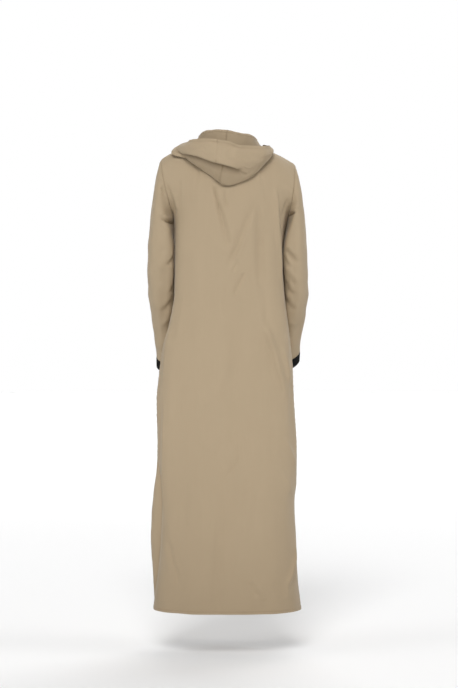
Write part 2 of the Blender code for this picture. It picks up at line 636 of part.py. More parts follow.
def make_sleeve(side, back, front):
    """A sleeve and its cuff, set into the armhole that the two panels leave."""
    word = "left" if side == LEFT else "right"
    column = 0 if side == LEFT else -1
    underarm = len(BODY_ROWS_Z) - 1
    up = back.outer[underarm:, column]
    down = front.outer[underarm:, column][::-1]
    armhole = np.concatenate([up, down[1:-1]])
    rows_z = SLEEVE_ROWS_Z + CUFF_ROWS_Z[side][:1]
    rings, cuff_rings = sleeve_rings(side, armhole, SLEEVE_CAP_ROWS, rows_z, CUFF_ROWS_Z[side])
    sleeve = Panel("sleeve_" + word, rings, side, around=True)
    cuff = Panel("cuff_" + word, cuff_rings, side, around=True, wall=CUFF_WALL)
    cuff.outer = cuff.outer + CUFF_PROUD * cuff.normal
    cuff.shift[0] = unit(cuff.outer[1] - cuff.outer[0]) * SEAM_GAP
    beside = 1 if side == LEFT else -2
    rows = slice(underarm, None)
    for panel, ring in ((back, np.arange(len(up))), (front, -np.arange(len(up)))):
        edge, inside = (rows, column), (rows, beside)
        sew(panel, edge, inside, sleeve, (0, ring), (1, ring), ARMHOLE_SEAM_GAP)
    share_corner((back, (-1, column)), (front, (-1, column)), (sleeve, (0, len(up) - 1)))
    return sleeve, cuff


def make_hood(back, front):
    """The hood's two halves, sewn to the neckline and to each other."""
    split = HOOD_BACK_SPLIT
    centre = SHOULDER_COLUMNS + NECK_COLUMNS // 2
    halves = []
    for side in (LEFT, RIGHT):
        # The necklines' columns from the throat to the neck point, and from there to the nape
        fore = np.arange(centre, SHOULDER_COLUMNS - 1, -1)
        aft = np.arange(SHOULDER_COLUMNS, centre + 1)
        if side == RIGHT:
            fore, aft = -1 - fore, -1 - aft
        nape = back.outer[-1, aft]
        fine = np.linspace(0, len(nape) - 1, split * (len(nape) - 1) + 1)
        nape = np.stack([np.interp(fine, np.arange(len(nape)), nape[:, k]) for k in range(3)], 1)
        seam = np.concatenate([front.outer[-1, fore[:-1]], nape])
        places = [(front, column, place) for place, column in enumerate(fore)]
        places += [(back, column, len(fore) - 1 + split * k) for k, column in enumerate(aft)]
        word = "left" if side == LEFT else "right"
        if side == RIGHT:
            seam = seam[::-1]
            places = [(panel, column, len(seam) - 1 - place) for panel, column, place in places]
        half = Panel("hood_" + word, hood_half(seam, side, HOOD_ROWS), 1)
        for panel, column, place in places:
            edge, inside = (-1, [column]), (-2, [column])
            sew(panel, edge, inside, half, (0, [place]), (1, [place]), NECK_SEAM_GAP)
        # The hood's extra columns at the back go along with their neighbours
        known = sorted({place for _, _, place in places})
        for k in range(3):
            half.shift[0, :, k] = np.interp(np.arange(len(seam)), known, half.shift[0, known, k])
        halves.append(half)
    left, right = halves
    rows = slice(None)
    sew(left, (rows, -1), (rows, -2), right, (rows, 0), (rows, 1))
    return halves


def main():
    for old in list(bpy.data.objects):
        bpy.data.objects.remove(old)
    back, front = make_body()
    join_body(back, front)
    pieces = [back, front]
    for side in (LEFT, RIGHT):
        pieces += make_sleeve(side, back, front)
    pieces += make_hood(back, front)
    for piece in pieces:
        black = piece.name.startswith("cuff")
        colour, roughness = (CUFF_COLOUR, CUFF_ROUGHNESS) if black else (CLOTH_COLOUR, CLOTH_ROUGHNESS)
        piece.build(colour, roughness)


main()
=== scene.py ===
# %% [markdown]
# # A hooded robe, worn, with its hood thrown back
# The robe is cut from a smooth beige crepe. A back and a front panel run from the shoulders to
# the ankles, open at the sides from the knee down. Two long sleeves are set in and end in black
# knitted cuffs, and a hood in two halves lies thrown back on the shoulders.
#
# The sheets of cloth could be draped by a simulation, or drawn by hand. They are drawn here, as
# grids of points with each fold placed by its own row in a table, because then every fold lies
# where the real one does, and the result is the same each time.

# %% Load the frame
import math

import bpy
import numpy as np
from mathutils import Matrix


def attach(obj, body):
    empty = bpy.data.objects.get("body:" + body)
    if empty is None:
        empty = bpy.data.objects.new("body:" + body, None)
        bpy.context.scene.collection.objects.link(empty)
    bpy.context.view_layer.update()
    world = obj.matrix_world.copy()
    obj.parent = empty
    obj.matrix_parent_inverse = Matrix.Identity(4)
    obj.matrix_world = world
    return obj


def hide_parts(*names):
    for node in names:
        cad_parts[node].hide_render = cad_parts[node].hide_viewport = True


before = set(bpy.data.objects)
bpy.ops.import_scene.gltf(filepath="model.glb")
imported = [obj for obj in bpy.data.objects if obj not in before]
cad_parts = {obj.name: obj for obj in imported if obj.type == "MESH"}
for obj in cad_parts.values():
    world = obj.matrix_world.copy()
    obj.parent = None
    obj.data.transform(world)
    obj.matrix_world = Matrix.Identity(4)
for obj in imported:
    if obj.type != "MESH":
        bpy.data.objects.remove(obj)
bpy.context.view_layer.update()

# %% [markdown]
# ## The camera
# The robe is seen from straight behind, with the camera level with the hips. How strongly the
# hem curves tells how near the camera was: 5.6 metres. The height that the picture takes in there
# then gives the lens, a long one.

# %% The camera
CAMERA_DISTANCE = 5.6
CAMERA_HEIGHT = -0.5878
METRES_A_PIXEL = 0.00303
PICTURE_HEIGHT = 688
SENSOR = 36

half_height = PICTURE_HEIGHT / 2 * METRES_A_PIXEL
bpy.ops.object.camera_add(
    location=(0, CAMERA_DISTANCE, CAMERA_HEIGHT), rotation=(math.pi / 2, 0, math.pi)
)
camera = bpy.context.object
camera.data.sensor_width = SENSOR
camera.data.lens = SENSOR / 2 * CAMERA_DISTANCE / half_height
camera.data.clip_end = 100
bpy.context.scene.camera = camera
print("lens:", round(camera.data.lens, 1), "mm")

# %% [markdown]
# ## How the forms are read
# A maker fits a robe by a few measures at each height. These tables do the same: each row is a
# height or an angle with its measures, and a smooth curve is read between the rows. The curve
# never swings past its rows, so no false bulge shows up between two measures.

# %% Tables and smooth curves
LEFT, RIGHT = 1, -1
BACK, FRONT = 1, -1


def table(names, *rows):
    """Rows of measures, as a dictionary with one array for each column."""
    return dict(zip(names.split(), np.array(rows, float).T))


def read(rows, column, at, key="z"):
    """Reads a column between its rows, along a smooth curve that doesn't overshoot."""
    order = np.argsort(rows[key])
    xs, ys = rows[key][order], rows[column][order]
    steps = np.diff(xs)
    slopes = np.diff(ys) / steps
    bends = np.zeros(len(xs))
    both = slopes[:-1] * slopes[1:]
    total = slopes[:-1] + slopes[1:]
    same = both > 0
    bends[1:-1][same] = 2 * both[same] / total[same]
    bends[0], bends[-1] = slopes[0], slopes[-1]
    at = np.clip(np.asarray(at, float), xs[0], xs[-1])
    i = np.clip(np.searchsorted(xs, at, side="right") - 1, 0, len(steps) - 1)
    t = (at - xs[i]) / steps[i]
    rise = (3 - 2 * t) * t * t
    leave = t * (1 - t) ** 2 * steps[i] * bends[i]
    arrive = t * t * (t - 1) * steps[i] * bends[i + 1]
    return ys[i] * (1 - rise) + ys[i + 1] * rise + leave + arrive


def smooth(value):
    """Rises from 0 to 1 as the value does, and stays level outside that."""
    t = np.clip(value, 0, 1)
    return t * t * (3 - 2 * t)


def bell(value):
    """1 where the value is 0, and less and less on both sides."""
    return np.exp(-(value**2))


def unit(vectors):
    lengths = np.linalg.norm(vectors, axis=-1, keepdims=True)
    return vectors / np.maximum(lengths, 1e-12)


def signed_power(value, power):
    return np.sign(value) * np.abs(value) ** power


def travelled(points, axis):
    """How far along its row or column each point of a grid lies, in metres."""
    steps = np.linalg.norm(np.diff(points, axis=axis), axis=-1)
    start = np.zeros_like(np.take(steps, [0], axis))
    return np.concatenate([start, np.cumsum(steps, axis)], axis)


def points_at(at, lengths, points):
    """The points of a curve at these lengths along it."""
    return np.stack([np.interp(at, lengths, column) for column in points.T], -1)


def spaced(points, fractions):
    """The points that lie at these fractions of a curve's length."""
    lengths = travelled(points, 0)
    return points_at(fractions, lengths / lengths[-1], points)


def closed(ring):
    """A ring's grid with its first column again at the end, all the way round."""
    return np.concatenate([ring, ring[:, :1]], 1)


def bow(start, leave, end, arrive, t):
    """A curve from start to end that leaves and arrives along the given vectors."""
    t = np.asarray(t)[:, None, None]
    rise = (3 - 2 * t) * t * t
    return (
        start * (1 - rise)
        + end * rise
        + leave * t * (1 - t) ** 2
        + arrive * t * t * (t - 1)
    )


def out_of(points, facing, around=False):
    """The direction that points out of the cloth at each point of a grid."""
    if around:
        columns = np.roll(points, -1, 1) - np.roll(points, 1, 1)
    else:
        columns = np.gradient(points, axis=1)
    return unit(np.cross(columns, np.gradient(points, axis=0))) * facing


# %% [markdown]
# ## The body's cut
# Each panel is half of a tube: its outline and depth at each height, then the curve that takes
# the cloth from the underarm up over the shoulder blades to the shoulder seam and the neckline.

# %% The body's measures
SLIT_TOP_Z = -0.91
HEM_Z = -1.386
UNDERARM_Z = -0.205

BODY = table(
    "z left right back front widest square",
    (-0.205, 0.166, -0.178, 0.121, -0.119, 0.000, 2.6),
    (-0.255, 0.165, -0.168, 0.123, -0.120, 0.002, 3.0),
    (-0.320, 0.164, -0.162, 0.125, -0.120, 0.006, 3.3),
    (-0.430, 0.164, -0.167, 0.128, -0.119, 0.020, 3.4),
    (-0.520, 0.178, -0.176, 0.131, -0.121, 0.038, 3.4),
    (-0.600, 0.199, -0.185, 0.135, -0.126, 0.048, 3.2),
    (-0.670, 0.209, -0.191, 0.139, -0.129, 0.048, 3.0),
    (-0.760, 0.217, -0.194, 0.141, -0.131, 0.040, 2.9),
    (-0.910, 0.215, -0.203, 0.143, -0.135, 0.028, 2.7),
    (-1.000, 0.223, -0.203, 0.145, -0.139, 0.024, 2.6),
    (-1.060, 0.230, -0.197, 0.146, -0.141, 0.020, 2.5),
    (-1.180, 0.235, -0.202, 0.149, -0.146, 0.012, 2.5),
    (-1.300, 0.229, -0.208, 0.151, -0.150, 0.004, 2.5),
    (-1.386, 0.2275, -0.217, 0.152, -0.152, 0.000, 2.4),
)
FRONT_SQUARE = 1.9

# Below the top of the side slits: how far each panel's edge draws in and the right edges part,
# how far the front's left edge wraps round behind, and how far back the back's left edge lies
SLIT = table(
    "z back_left back_right front_left front_right parted wrap behind",
    (-1.386, 0.000, 0.000, 0.007, 0.010, 0.014, 0.000, 0.003),
    (-1.345, 0.005, 0.000, 0.001, 0.009, 0.019, 0.008, 0.015),
    (-1.303, 0.012, 0.001, 0.000, 0.008, 0.018, 0.018, 0.024),
    (-1.240, 0.024, 0.001, 0.000, 0.006, 0.016, 0.031, 0.038),
    (-1.180, 0.032, 0.001, 0.000, 0.005, 0.014, 0.040, 0.046),
    (-1.060, 0.033, 0.001, 0.000, 0.003, 0.010, 0.040, 0.046),
    (-1.000, 0.023, 0.001, 0.000, 0.001, 0.006, 0.029, 0.035),
    (-0.950, 0.009, 0.000, 0.000, 0.000, 0.003, 0.013, 0.018),
    (-0.910, 0.000, 0.000, 0.000, 0.000, 0.000, 0.000, 0.000),
)

NECK_X = 0.004
NECK_HALF_WIDTH = 0.075
NECK_POINT_Z = 0.010
NAPE_Y, NAPE_Z = 0.068, -0.006
NECK_DIP_POWER = 1.7
THROAT_Y, THROAT_Z = -0.078, -0.070
SHOULDER = {
    LEFT: {"tip_x": 0.205, "tip_z": -0.029, "crown": 0.014},
    RIGHT: {"tip_x": -0.198, "tip_z": -0.043, "crown": 0.008},
}

# How the cloth leaves the underarm level and reaches the shoulder or neckline, from the
# armhole (0) to the neck point (1) and the centre (2)
YOKE = {
    BACK: table(
        "place out deep up end_out end_deep end_up",
        (0.0, 0.03, 0.240, 0.05, -0.01, -0.24, 0.09),
        (0.5, 0.00, 0.060, 0.19, 0.02, -0.28, 0.05),
        (1.0, 0.00, 0.000, 0.23, 0.00, -0.29, 0.05),
        (1.4, 0.00, -0.002, 0.23, 0.00, -0.22, 0.09),
        (2.0, 0.00, -0.005, 0.23, 0.00, -0.15, 0.14),
    ),
    FRONT: table(
        "place out deep up end_out end_deep end_up",
        (0.0, 0.03, 0.220, 0.05, -0.01, -0.22, 0.09),
        (0.5, 0.00, 0.050, 0.19, 0.02, -0.26, 0.06),
        (1.0, 0.00, 0.000, 0.22, 0.00, -0.26, 0.07),
        (1.4, 0.00, 0.004, 0.18, 0.00, -0.17, 0.11),
        (2.0, 0.00, 0.005, 0.13, 0.00, -0.07, 0.10),
    ),
}
NECK_SLIT_LENGTH = 0.20
NECK_SLIT_HALF_WIDTH = 0.009
CENTRE_HALF_STRIP = 0.003
CURVE_STEPS = 361


# %% The body's surface
def half_section(z, side, fractions):
    """The back or front half of the body at a height, from the left edge to the right one."""
    edge = "back" if side == BACK else "front"
    left = read(BODY, "left", z)
    right = read(BODY, "right", z)
    widest = read(BODY, "widest", z)
    left_back = right_back = wrap = 0.0
    if z < SLIT_TOP_Z:
        left = left - read(SLIT, edge + "_left", z)
        right = right + read(SLIT, edge + "_right", z)
        right_back = side * read(SLIT, "parted", z)
        if side == BACK:
            left_back = read(SLIT, "behind", z)
        else:
            wrap = read(SLIT, "wrap", z)
    power = 2 / (read(BODY, "square", z) if side == BACK else FRONT_SQUARE)
    turn = np.linspace(0, math.pi, CURVE_STEPS)
    x = (left + right) / 2 + (left - right) / 2 * signed_power(np.cos(turn), power)
    start = widest + right_back + (left_back - right_back) * (1 + np.cos(turn)) / 2
    y = start + (read(BODY, edge, z) - start) * np.sin(turn).clip(0) ** power
    if wrap > 0:
        round_behind = np.linspace(math.pi / 2, 0, CURVE_STEPS)[:-1]
        x = np.concatenate([left - wrap * (1 - np.cos(round_behind)), x])
        y = np.concatenate([widest + wrap * np.sin(round_behind), y])
    return spaced(np.stack([x, y, np.full_like(x, z)], 1), fractions)


def neckline(turn):
    """The neckline at angles from the left neck point, by the back or by the front."""
    across, along = np.cos(turn), np.sin(turn)
    x = NECK_X + NECK_HALF_WIDTH * across
    y = np.where(along > 0, NAPE_Y, -THROAT_Y) * along
    dip = np.where(along > 0, NAPE_Z - NECK_POINT_Z, THROAT_Z - NECK_POINT_Z)
    return np.stack([x, y, NECK_POINT_Z + dip * np.abs(along) ** NECK_DIP_POWER], 1)


def shoulder(side, share):
    """The shoulder seam, from the tip (0) to the neck point (1)."""
    tip = SHOULDER[side]
    x = tip["tip_x"] + (NECK_X + side * NECK_HALF_WIDTH - tip["tip_x"]) * share
    z = tip["tip_z"] + (NECK_POINT_Z - tip["tip_z"]) * share
    z = z + tip["crown"] * 4 * share * (1 - share)
    return np.stack([x, np.zeros_like(x), z], 1)


def body_panel(side, shares, turns, rows_z, upper_steps):
    """A panel's outer face, in rows from the hem up and columns from left to right."""
    left, right = shoulder(LEFT, shares), shoulder(RIGHT, shares)[::-1]
    top = np.concatenate([left[:-1], neckline(side * turns), right[1:]])
    lengths = travelled(top, 0)
    fractions = lengths / lengths[-1]
    lower = np.stack([half_section(z, side, fractions) for z in rows_z])
    middle = 1 + np.sin(turns[1:-1])
    place = np.concatenate([shares, middle, shares[::-1]])
    outward = np.where(np.arange(len(top)) < len(top) / 2, LEFT, RIGHT)

    def heading(prefix):
        out = read(YOKE[side], prefix + "out", place, "place") * outward
        deep = read(YOKE[side], prefix + "deep", place, "place") * side
        return np.stack([out, deep, read(YOKE[side], prefix + "up", place, "place")], 1)

    upper = bow(lower[-1], heading(""), top, heading("end_"), upper_steps)
    return np.concatenate([lower, upper])


# %% [markdown]
# ## How a fold is drawn
# A fold in hanging cloth is a soft ridge or trough that starts at a pinch, such as an armpit,
# and grows wider and flatter as it leaves it. It could be sculpted, but a row of numbers says the
# same: where it starts and ends as seen from one side, how it bows, its width and height,
# whether it leans on a trough beside it, and how much it flares. Each row only moves the cloth
# that faces the side it was drawn from.

# %% Folds
FOLD_NAMES = "from_a from_z to_a to_z bow width height lean flare"
FOLD_EASE = 0.25
LEAN_REACH, LEAN_DEPTH = 1.7, 0.6
# A fold begins where the cloth faces its view by this much, and is whole this much further on
FACING_FROM, FACING_FADE = 0.05, 0.40
RIPPLE_WAVES = 14
# Seen from behind and in front, a fold's first number is x. Seen from a side, it is y
BEHIND, IN_FRONT = (0, 1), (0, -1)
FROM_LEFT, FROM_RIGHT = (1, 1), (1, -1)


def folds(*rows):
    """A table of folds, whose rows may end before a lean and a flare of 0."""
    columns = len(FOLD_NAMES.split())
    return table(FOLD_NAMES, *((*row, 0, 0)[:columns] for row in rows))


def raised(points, out, view, rows):
    """How far the folds drawn in one view raise each point of a sheet."""
    axis, sign = view
    facing = smooth((out[..., 1 - axis] * sign - FACING_FROM) / FACING_FADE)
    seen = points[..., [axis, 2]]
    total = np.zeros(points.shape[:-1])
    for a, z, to_a, to_z, bend, width, height, lean, flare in zip(*rows.values()):
        start, along = np.array([a, z]), np.array([to_a - a, to_z - z])
        length = np.linalg.norm(along)
        along = along / length
        place = seen - start
        share = (place @ along / length).clip(0, 1)
        across = place @ np.array([-along[1], along[0]]) - bend * 4 * share * (1 - share)
        beyond = place @ along - share * length
        ease = (np.minimum(share, 1 - share) / FOLD_EASE).clip(0, 1)
        if to_z <= HEM_Z:
            ease = (share / FOLD_EASE).clip(0, 1)
        spread = 1 + flare * (share - 0.5)
        away = across / (width * spread)
        shape = bell(away)
        if lean:
            shape = shape - abs(lean) * LEAN_DEPTH * bell(away - math.copysign(LEAN_REACH, lean))
        shape = shape * bell(beyond / width)
        total += height / spread * shape * smooth(ease)
    return total * facing


def scattered(
    seed, count, across, up, length=(0.05, 0.15), width=(0.005, 0.011), height=0.0012, slant=0.3
):
    """Small creases of no one cause, which every worn cloth has here and there."""
    chance = np.random.default_rng(seed)
    a, z = chance.uniform(*across, count), chance.uniform(*up, count)
    long, turn = chance.uniform(*length, count), chance.normal(0, slant, count)
    tall = height * chance.uniform(0.35, 1, count) * chance.choice([-1, 1], count)
    bend = chance.normal(0, 0.005, count)
    wide = chance.uniform(*width, count)
    flare = chance.uniform(-0.6, 0.6, count)
    rows = (a, z, a + long * np.sin(turn), z - long * np.cos(turn), bend, wide, tall, 0 * a, flare)
    return folds(*zip(*rows))


def ripple(points, seed, size=0.10, height=0.0007):
    """Broad, shallow unevenness, longer up and down than across."""
    chance = np.random.default_rng(seed)
    total = np.zeros(points.shape[:-1])
    for _ in range(RIPPLE_WAVES):
        heading = unit(chance.normal(0, 1, 3) * (1, 1, 0.35))
        wave = 2 * math.pi / (size * chance.uniform(0.5, 1.6))
        total += np.sin(points @ heading * wave + chance.uniform(0, 2 * math.pi))
    return total * height * math.sqrt(2 / RIPPLE_WAVES)


# %% [markdown]
# ## Seams and hems
# Where two pieces are sewn, the thread draws the cloth into a narrow groove, with a slight swell
# where the turned-in edges lie beneath. A hem is the edge folded over and stitched, so it stands
# a little proud up to its line of thread. Rows of the grid are crowded there to show it.

# %% Seams and hems
SEAM_SINK, SEAM_WIDTH = 0.0007, 0.0020
ALLOWANCE_SWELL, ALLOWANCE_AT, ALLOWANCE_WIDTH = 0.0004, 0.007, 0.004
HEM_RAISE, HEM_DEPTH, HEM_SLOPE = 0.0014, 0.0092, 0.0014
STITCH_AT, STITCH_SINK, STITCH_WIDTH = 0.0078, 0.0012, 0.0012
HEM_STEPS = np.array(
    [0, 0.0012, 0.0028, 0.0048, 0.0066, 0.0078, 0.0088, 0.0100, 0.0118, 0.0145, 0.0180]
)
STITCHED_ROW = int(np.argmin(np.abs(HEM_STEPS - STITCH_AT)))
PUCKER_REACH, PUCKER_HEIGHT, PUCKER_WAVES = 0.007, 0.00016, 5
PUCKER_LENGTHS = (0.009, 0.030)
JOIN_REACH = 0.006
# How wide a seam and the lines of thread are marked, and how strongly the thread is
SEAM_MARK, HEM_MARK, SLIT_MARK, HOOD_MARK = 0.0022, 0.0010, 0.0012, 0.0009
THREAD_MARK = 0.6


def seam(distance, along=None, seed=0):
    """How far the cloth moves at distances from a seam. Along it, the thread puckers it."""
    drop = -SEAM_SINK * bell(distance / SEAM_WIDTH)
    drop = drop + ALLOWANCE_SWELL * bell((distance - ALLOWANCE_AT) / ALLOWANCE_WIDTH)
    if along is None:
        return drop
    chance = np.random.default_rng(seed)
    pucker = sum(
        np.sin(along * 2 * math.pi / chance.uniform(*PUCKER_LENGTHS) + chance.uniform(0, 6.3))
        for _ in range(PUCKER_WAVES)
    )
    beside = distance / PUCKER_REACH
    return drop + PUCKER_HEIGHT * pucker * beside * np.exp(1 - beside)


def hem(distance):
    """How far a hem stands out, at distances from its edge."""
    band = HEM_RAISE * smooth((HEM_DEPTH - distance) / HEM_SLOPE + 0.5)
    return band - STITCH_SINK * bell((distance - STITCH_AT) / STITCH_WIDTH)


def marks(distance, width=SEAM_MARK):
    """1 on a seam or an edge and 0 away from it, for the material."""
    return bell(distance / width)


def thread_marks(distance, width):
    """The weaker mark that a line of thread leaves at its distance from an edge."""
    return THREAD_MARK * marks(distance - STITCH_AT, width)


def joined(points, distance, missing):
    """The sheet with one edge moved onto its partner's, and the cloth beside it less and less."""
    return points + missing * bell(distance / JOIN_REACH)[..., None]


# %% [markdown]
# ## From a grid of points to cloth
# A flat grid is added and each of its points is moved to its place on the sheet. Its UV map
# holds where each point lies on the flat cloth, in metres, so that a weave keeps its size
# everywhere. The Solidify modifier then gives the sheet its thickness, inwards.

# %% A grid moved into place
def only(piece):
    bpy.ops.object.select_all(action="DESELECT")
    piece.select_set(True)
    bpy.context.view_layer.objects.active = piece


def laid(name, points, flat, edge):
    """A grid with its points in place, and the number of each of its faces' lowest corner."""
    rows, columns = points.shape[:2]
    bpy.ops.object.select_all(action="DESELECT")
    bpy.ops.mesh.primitive_grid_add(x_subdivisions=columns - 1, y_subdivisions=rows - 1, size=1)
    piece = bpy.context.object
    piece.name = piece.data.name = name
    mesh = piece.data
    start = np.empty(len(mesh.vertices) * 3)
    mesh.vertices.foreach_get("co", start)
    start = start.reshape(-1, 3).round(6)
    order = np.lexsort((start[:, 0], start[:, 1]))
    place = np.empty_like(start)
    place[order] = points.reshape(-1, 3)
    mesh.vertices.foreach_set("co", place.ravel())
    on_flat, mark = np.empty((len(order), 2)), np.empty(len(order))
    on_flat[order], mark[order] = flat.reshape(-1, 2), edge.ravel()
    corner = np.empty(len(mesh.loops), int)
    mesh.loops.foreach_get("vertex_index", corner)
    mesh.uv_layers[0].name = "cut"
    mesh.uv_layers[0].data.foreach_set("uv", on_flat[corner].ravel())
    # The edge attribute holds the seam and thread marks, and on the hood painted shade as well
    mesh.attributes.new("edge", "FLOAT", "POINT").data.foreach_set("value", mark)
    mesh.update()
    number = np.empty(len(order), int)
    number[order] = np.arange(len(order))
    return piece, number[corner.reshape(-1, 4)].min(axis=1)


# %% Joined round, cut and thickened
CLOTH_THICKNESS = 0.0011
SMOOTH_UNDER_DEGREES = 50
MERGE_WITHIN = 0.00001


def joined_round(piece):
    """Makes a ring's last column and its first one the same."""
    only(piece)
    bpy.ops.object.mode_set(mode="EDIT")
    bpy.ops.mesh.select_all(action="SELECT")
    bpy.ops.mesh.remove_doubles(threshold=MERGE_WITHIN)
    bpy.ops.object.mode_set(mode="OBJECT")


def cut_away(piece, faces):
    """Deletes the faces for which the list says so."""
    only(piece)
    bpy.ops.object.mode_set(mode="EDIT")
    bpy.ops.mesh.select_all(action="DESELECT")
    bpy.ops.object.mode_set(mode="OBJECT")
    piece.data.polygons.foreach_set("select", faces)
    bpy.ops.object.mode_set(mode="EDIT")
    bpy.ops.mesh.select_mode(type="FACE")
    bpy.ops.mesh.delete(type="FACE")
    bpy.ops.object.mode_set(mode="OBJECT")


def thickened(piece, thickness):
    only(piece)
    wall = piece.modifiers.new("wall", "SOLIDIFY")
    wall.thickness = thickness
    wall.offset = -1
    bpy.ops.object.modifier_apply(modifier=wall.name)
    bpy.ops.object.shade_smooth_by_angle(angle=math.radians(SMOOTH_UNDER_DEGREES))
    count = sum(len(face.vertices) - 2 for face in piece.data.polygons)
    print(f"{piece.name}: {piece['area']:.3f} m2 of cloth, {count} triangles")
    return piece


# %% A sheet of cloth
def sheet(name, points, flat, edge, facing, around=False, left_out=None, thickness=CLOTH_THICKNESS):
    """A piece of cloth from a grid of points, where they lie on the flat cloth, and its marks.
    left_out says which of the grid's faces are cut away."""
    if around:
        points, edge = closed(points), closed(edge)
    if facing < 0:
        points, flat, edge = (grid[:, ::-1] for grid in (points, flat, edge))
    piece, lowest = laid(name, points, flat, edge)
    if around:
        joined_round(piece)
    if left_out is not None:
        left_out = left_out[:, ::facing]
        columns = points.shape[1]
        cut_away(piece, left_out[lowest // columns, lowest % columns])
    piece["area"] = sum(face.area for face in piece.data.polygons)
    return thickened(piece, thickness)


# %% [markdown]
# ## The back panel
# It is most of what shows from behind. Its cloth hangs from the shoulder blades, catches lightly
# on the hips and then falls straight, so its folds are few and shallow: two that meet in a V
# below the hood, a broad hollow and a ridge on the right, and slanting ones at the right hip.

# %% The panels' rows and columns
SHARES = np.concatenate([[0, 0.0075, 0.018, 0.033, 0.052], np.linspace(0.078, 1, 30)])
BACK_TURNS = np.linspace(0, math.pi, 69)
STRIP = math.asin(NECK_SLIT_HALF_WIDTH / NECK_HALF_WIDTH)
NEAR_SLIT = np.array([0.127, 0.100, 0.067, 0.037, 0.016, 0])
# How far round the neckline from the neck points the neck slit's edges lie
SLIT_TURN = math.pi / 2 - STRIP
FAR_FROM_SLIT = np.linspace(0, SLIT_TURN - 0.16, 20)
LEFT_TURNS = np.concatenate([FAR_FROM_SLIT, SLIT_TURN - NEAR_SLIT])
FRONT_TURNS = np.concatenate([LEFT_TURNS, math.pi - LEFT_TURNS[::-1]])
ROWS_Z = np.concatenate([HEM_Z + HEM_STEPS, np.linspace(HEM_Z + 0.0225, UNDERARM_Z, 242)])
UPPER_ROWS = 56
UPPER_CROWD = 1.35
UPPER_STEPS = 1 - np.linspace(1, 0, UPPER_ROWS + 1)[1:] ** UPPER_CROWD
UNDERARM_ROW = len(ROWS_Z) - 1
SIDE_EASE, TOP_EASE = 0.008, 0.020
SLIT_BLEND = 0.03
# Round the underarm, where the body's two curves meet, the rows are evened out
EVEN_ROWS, EVEN_PASSES, EVEN_INSET = 9, 80, 0.02

# %% The back's folds
BACK_FOLDS = folds(
    (0.048, -0.11, 0.027, -0.2, -0.001, 0.004, -0.005, 0, 0.3),
    (0.035, -0.16, -0.002, -0.315, -0.002, 0.0085, -0.006, 0, 0.6),
    (0.016, -0.128, 0.005, -0.186, 0, 0.0036, -0.0034),
    (-0.079, -0.16, 0.007, -0.372, 0, 0.008, -0.0046, -0.5),
    (-0.056, -0.225, -0.03, -0.296, 0.001, 0.006, 0.0016),
    (-0.028, -0.34, -0.011, -0.378, 0.001, 0.0045, -0.0024, -0.4),
    (-0.051, -0.372, -0.011, -0.448, 0.002, 0.0055, -0.0034, -0.4),
    (-0.088, -0.15, -0.098, -0.44, 0, 0.015, -0.008, 0, 0.1),
    (-0.103, -0.4, -0.118, -0.57, 0, 0.012, -0.0034),
    (-0.14, -0.11, -0.16, -0.41, 0.003, 0.0065, 0.0074, -0.5, 0.1),
    (0.15, -0.09, 0.15, -0.19, 0, 0.005, -0.0022),
    (-0.092, -0.5, -0.168, -0.77, -0.01, 0.013, 0.0064, 0.4, 0.2),
    (-0.118, -0.58, -0.158, -0.76, -0.006, 0.01, -0.0064, 0, 0.2),
    (-0.107, -0.532, -0.151, -0.71, -0.006, 0.008, 0.004, 0.3),
    (-0.122, -0.591, -0.166, -0.754, -0.005, 0.0075, 0.0038, 0.3),
    (-0.157, -0.59, -0.184, -0.71, -0.003, 0.007, 0.005, 0.3),
    (-0.024, -0.52, -0.02, -0.96, 0.004, 0.02, -0.0048, 0, 0.2),
    (0.12, -0.3, 0.126, -0.62, 0.004, 0.022, -0.0045),
    (0.166, -0.62, 0.188, -1.1, 0.004, 0.013, 0.005),
    (0.192, -0.75, 0.1945, -1.14, 0.001, 0.0055, 0.0042, 0.4),
    (0.07, -0.7, 0.092, -1.386, 0.004, 0.031, 0.005, 0, 0.3),
    (-0.11, -0.86, -0.13, -1.386, 0.004, 0.031, 0.005, 0, 0.3),
    (-0.151, -0.86, -0.2, -0.97, -0.008, 0.0085, 0.0052, 0.5),
    (-0.154, -0.96, -0.185, -1.04, -0.004, 0.011, 0.0036),
    (-0.145, -0.9, -0.175, -1, -0.004, 0.012, -0.0036),
    (-0.027, -0.87, -0.032, -0.945, 0.001, 0.006, -0.0016, 0.4),
    (-0.033, -0.935, 0.026, -1.015, 0.006, 0.007, -0.0018, 0.4),
    (0.181, -1.165, 0.145, -1.31, 0.004, 0.0075, -0.0048, 0.4),
    (-0.204, -1.17, -0.17, -1.315, -0.007, 0.006, 0.0084, -0.4),
    (-0.172, -1.28, -0.176, -1.35, 0.001, 0.007, 0.0036),
    (-0.056, -1.285, -0.084, -1.34, 0.002, 0.009, -0.0032),
    (-0.086, -1.3, -0.104, -1.35, -0.002, 0.007, 0.0024),
    (-0.132, -1.29, -0.16, -1.345, 0.002, 0.009, -0.0032),
    (0.027, -1.08, 0.03, -1.386, 0.003, 0.014, -0.004, 0, 0.3),
    (0.13, -0.98, 0.15, -1.386, 0.004, 0.019, -0.004, 0, 0.3),
    (0, -0.56, 0.06, -0.78, -0.01, 0.019, 0.0026),
    (0.195, -0.098, 0.1595, -0.2, -0.005, 0.0032, -0.0044, 0.4),
    (0.184, -0.146, 0.159, -0.212, -0.003, 0.0028, -0.0034),
    (0.17, -0.13, 0.156, -0.19, -0.003, 0.006, 0.003),
    (-0.18, -0.15, -0.16, -0.215, 0.003, 0.004, -0.0026),
    (0.15, -0.42, 0.178, -0.6, -0.004, 0.009, -0.0036),
)
BACK_SIDE_FOLDS = folds(
    (0.07, -0.56, 0.095, -0.86, 0.004, 0.012, -0.003),
    (0.1, -0.7, 0.11, -1.2, 0.003, 0.014, 0.003),
)
BACK_CREASES = scattered(4, 40, (-0.19, 0.20), (-1.30, -0.14))


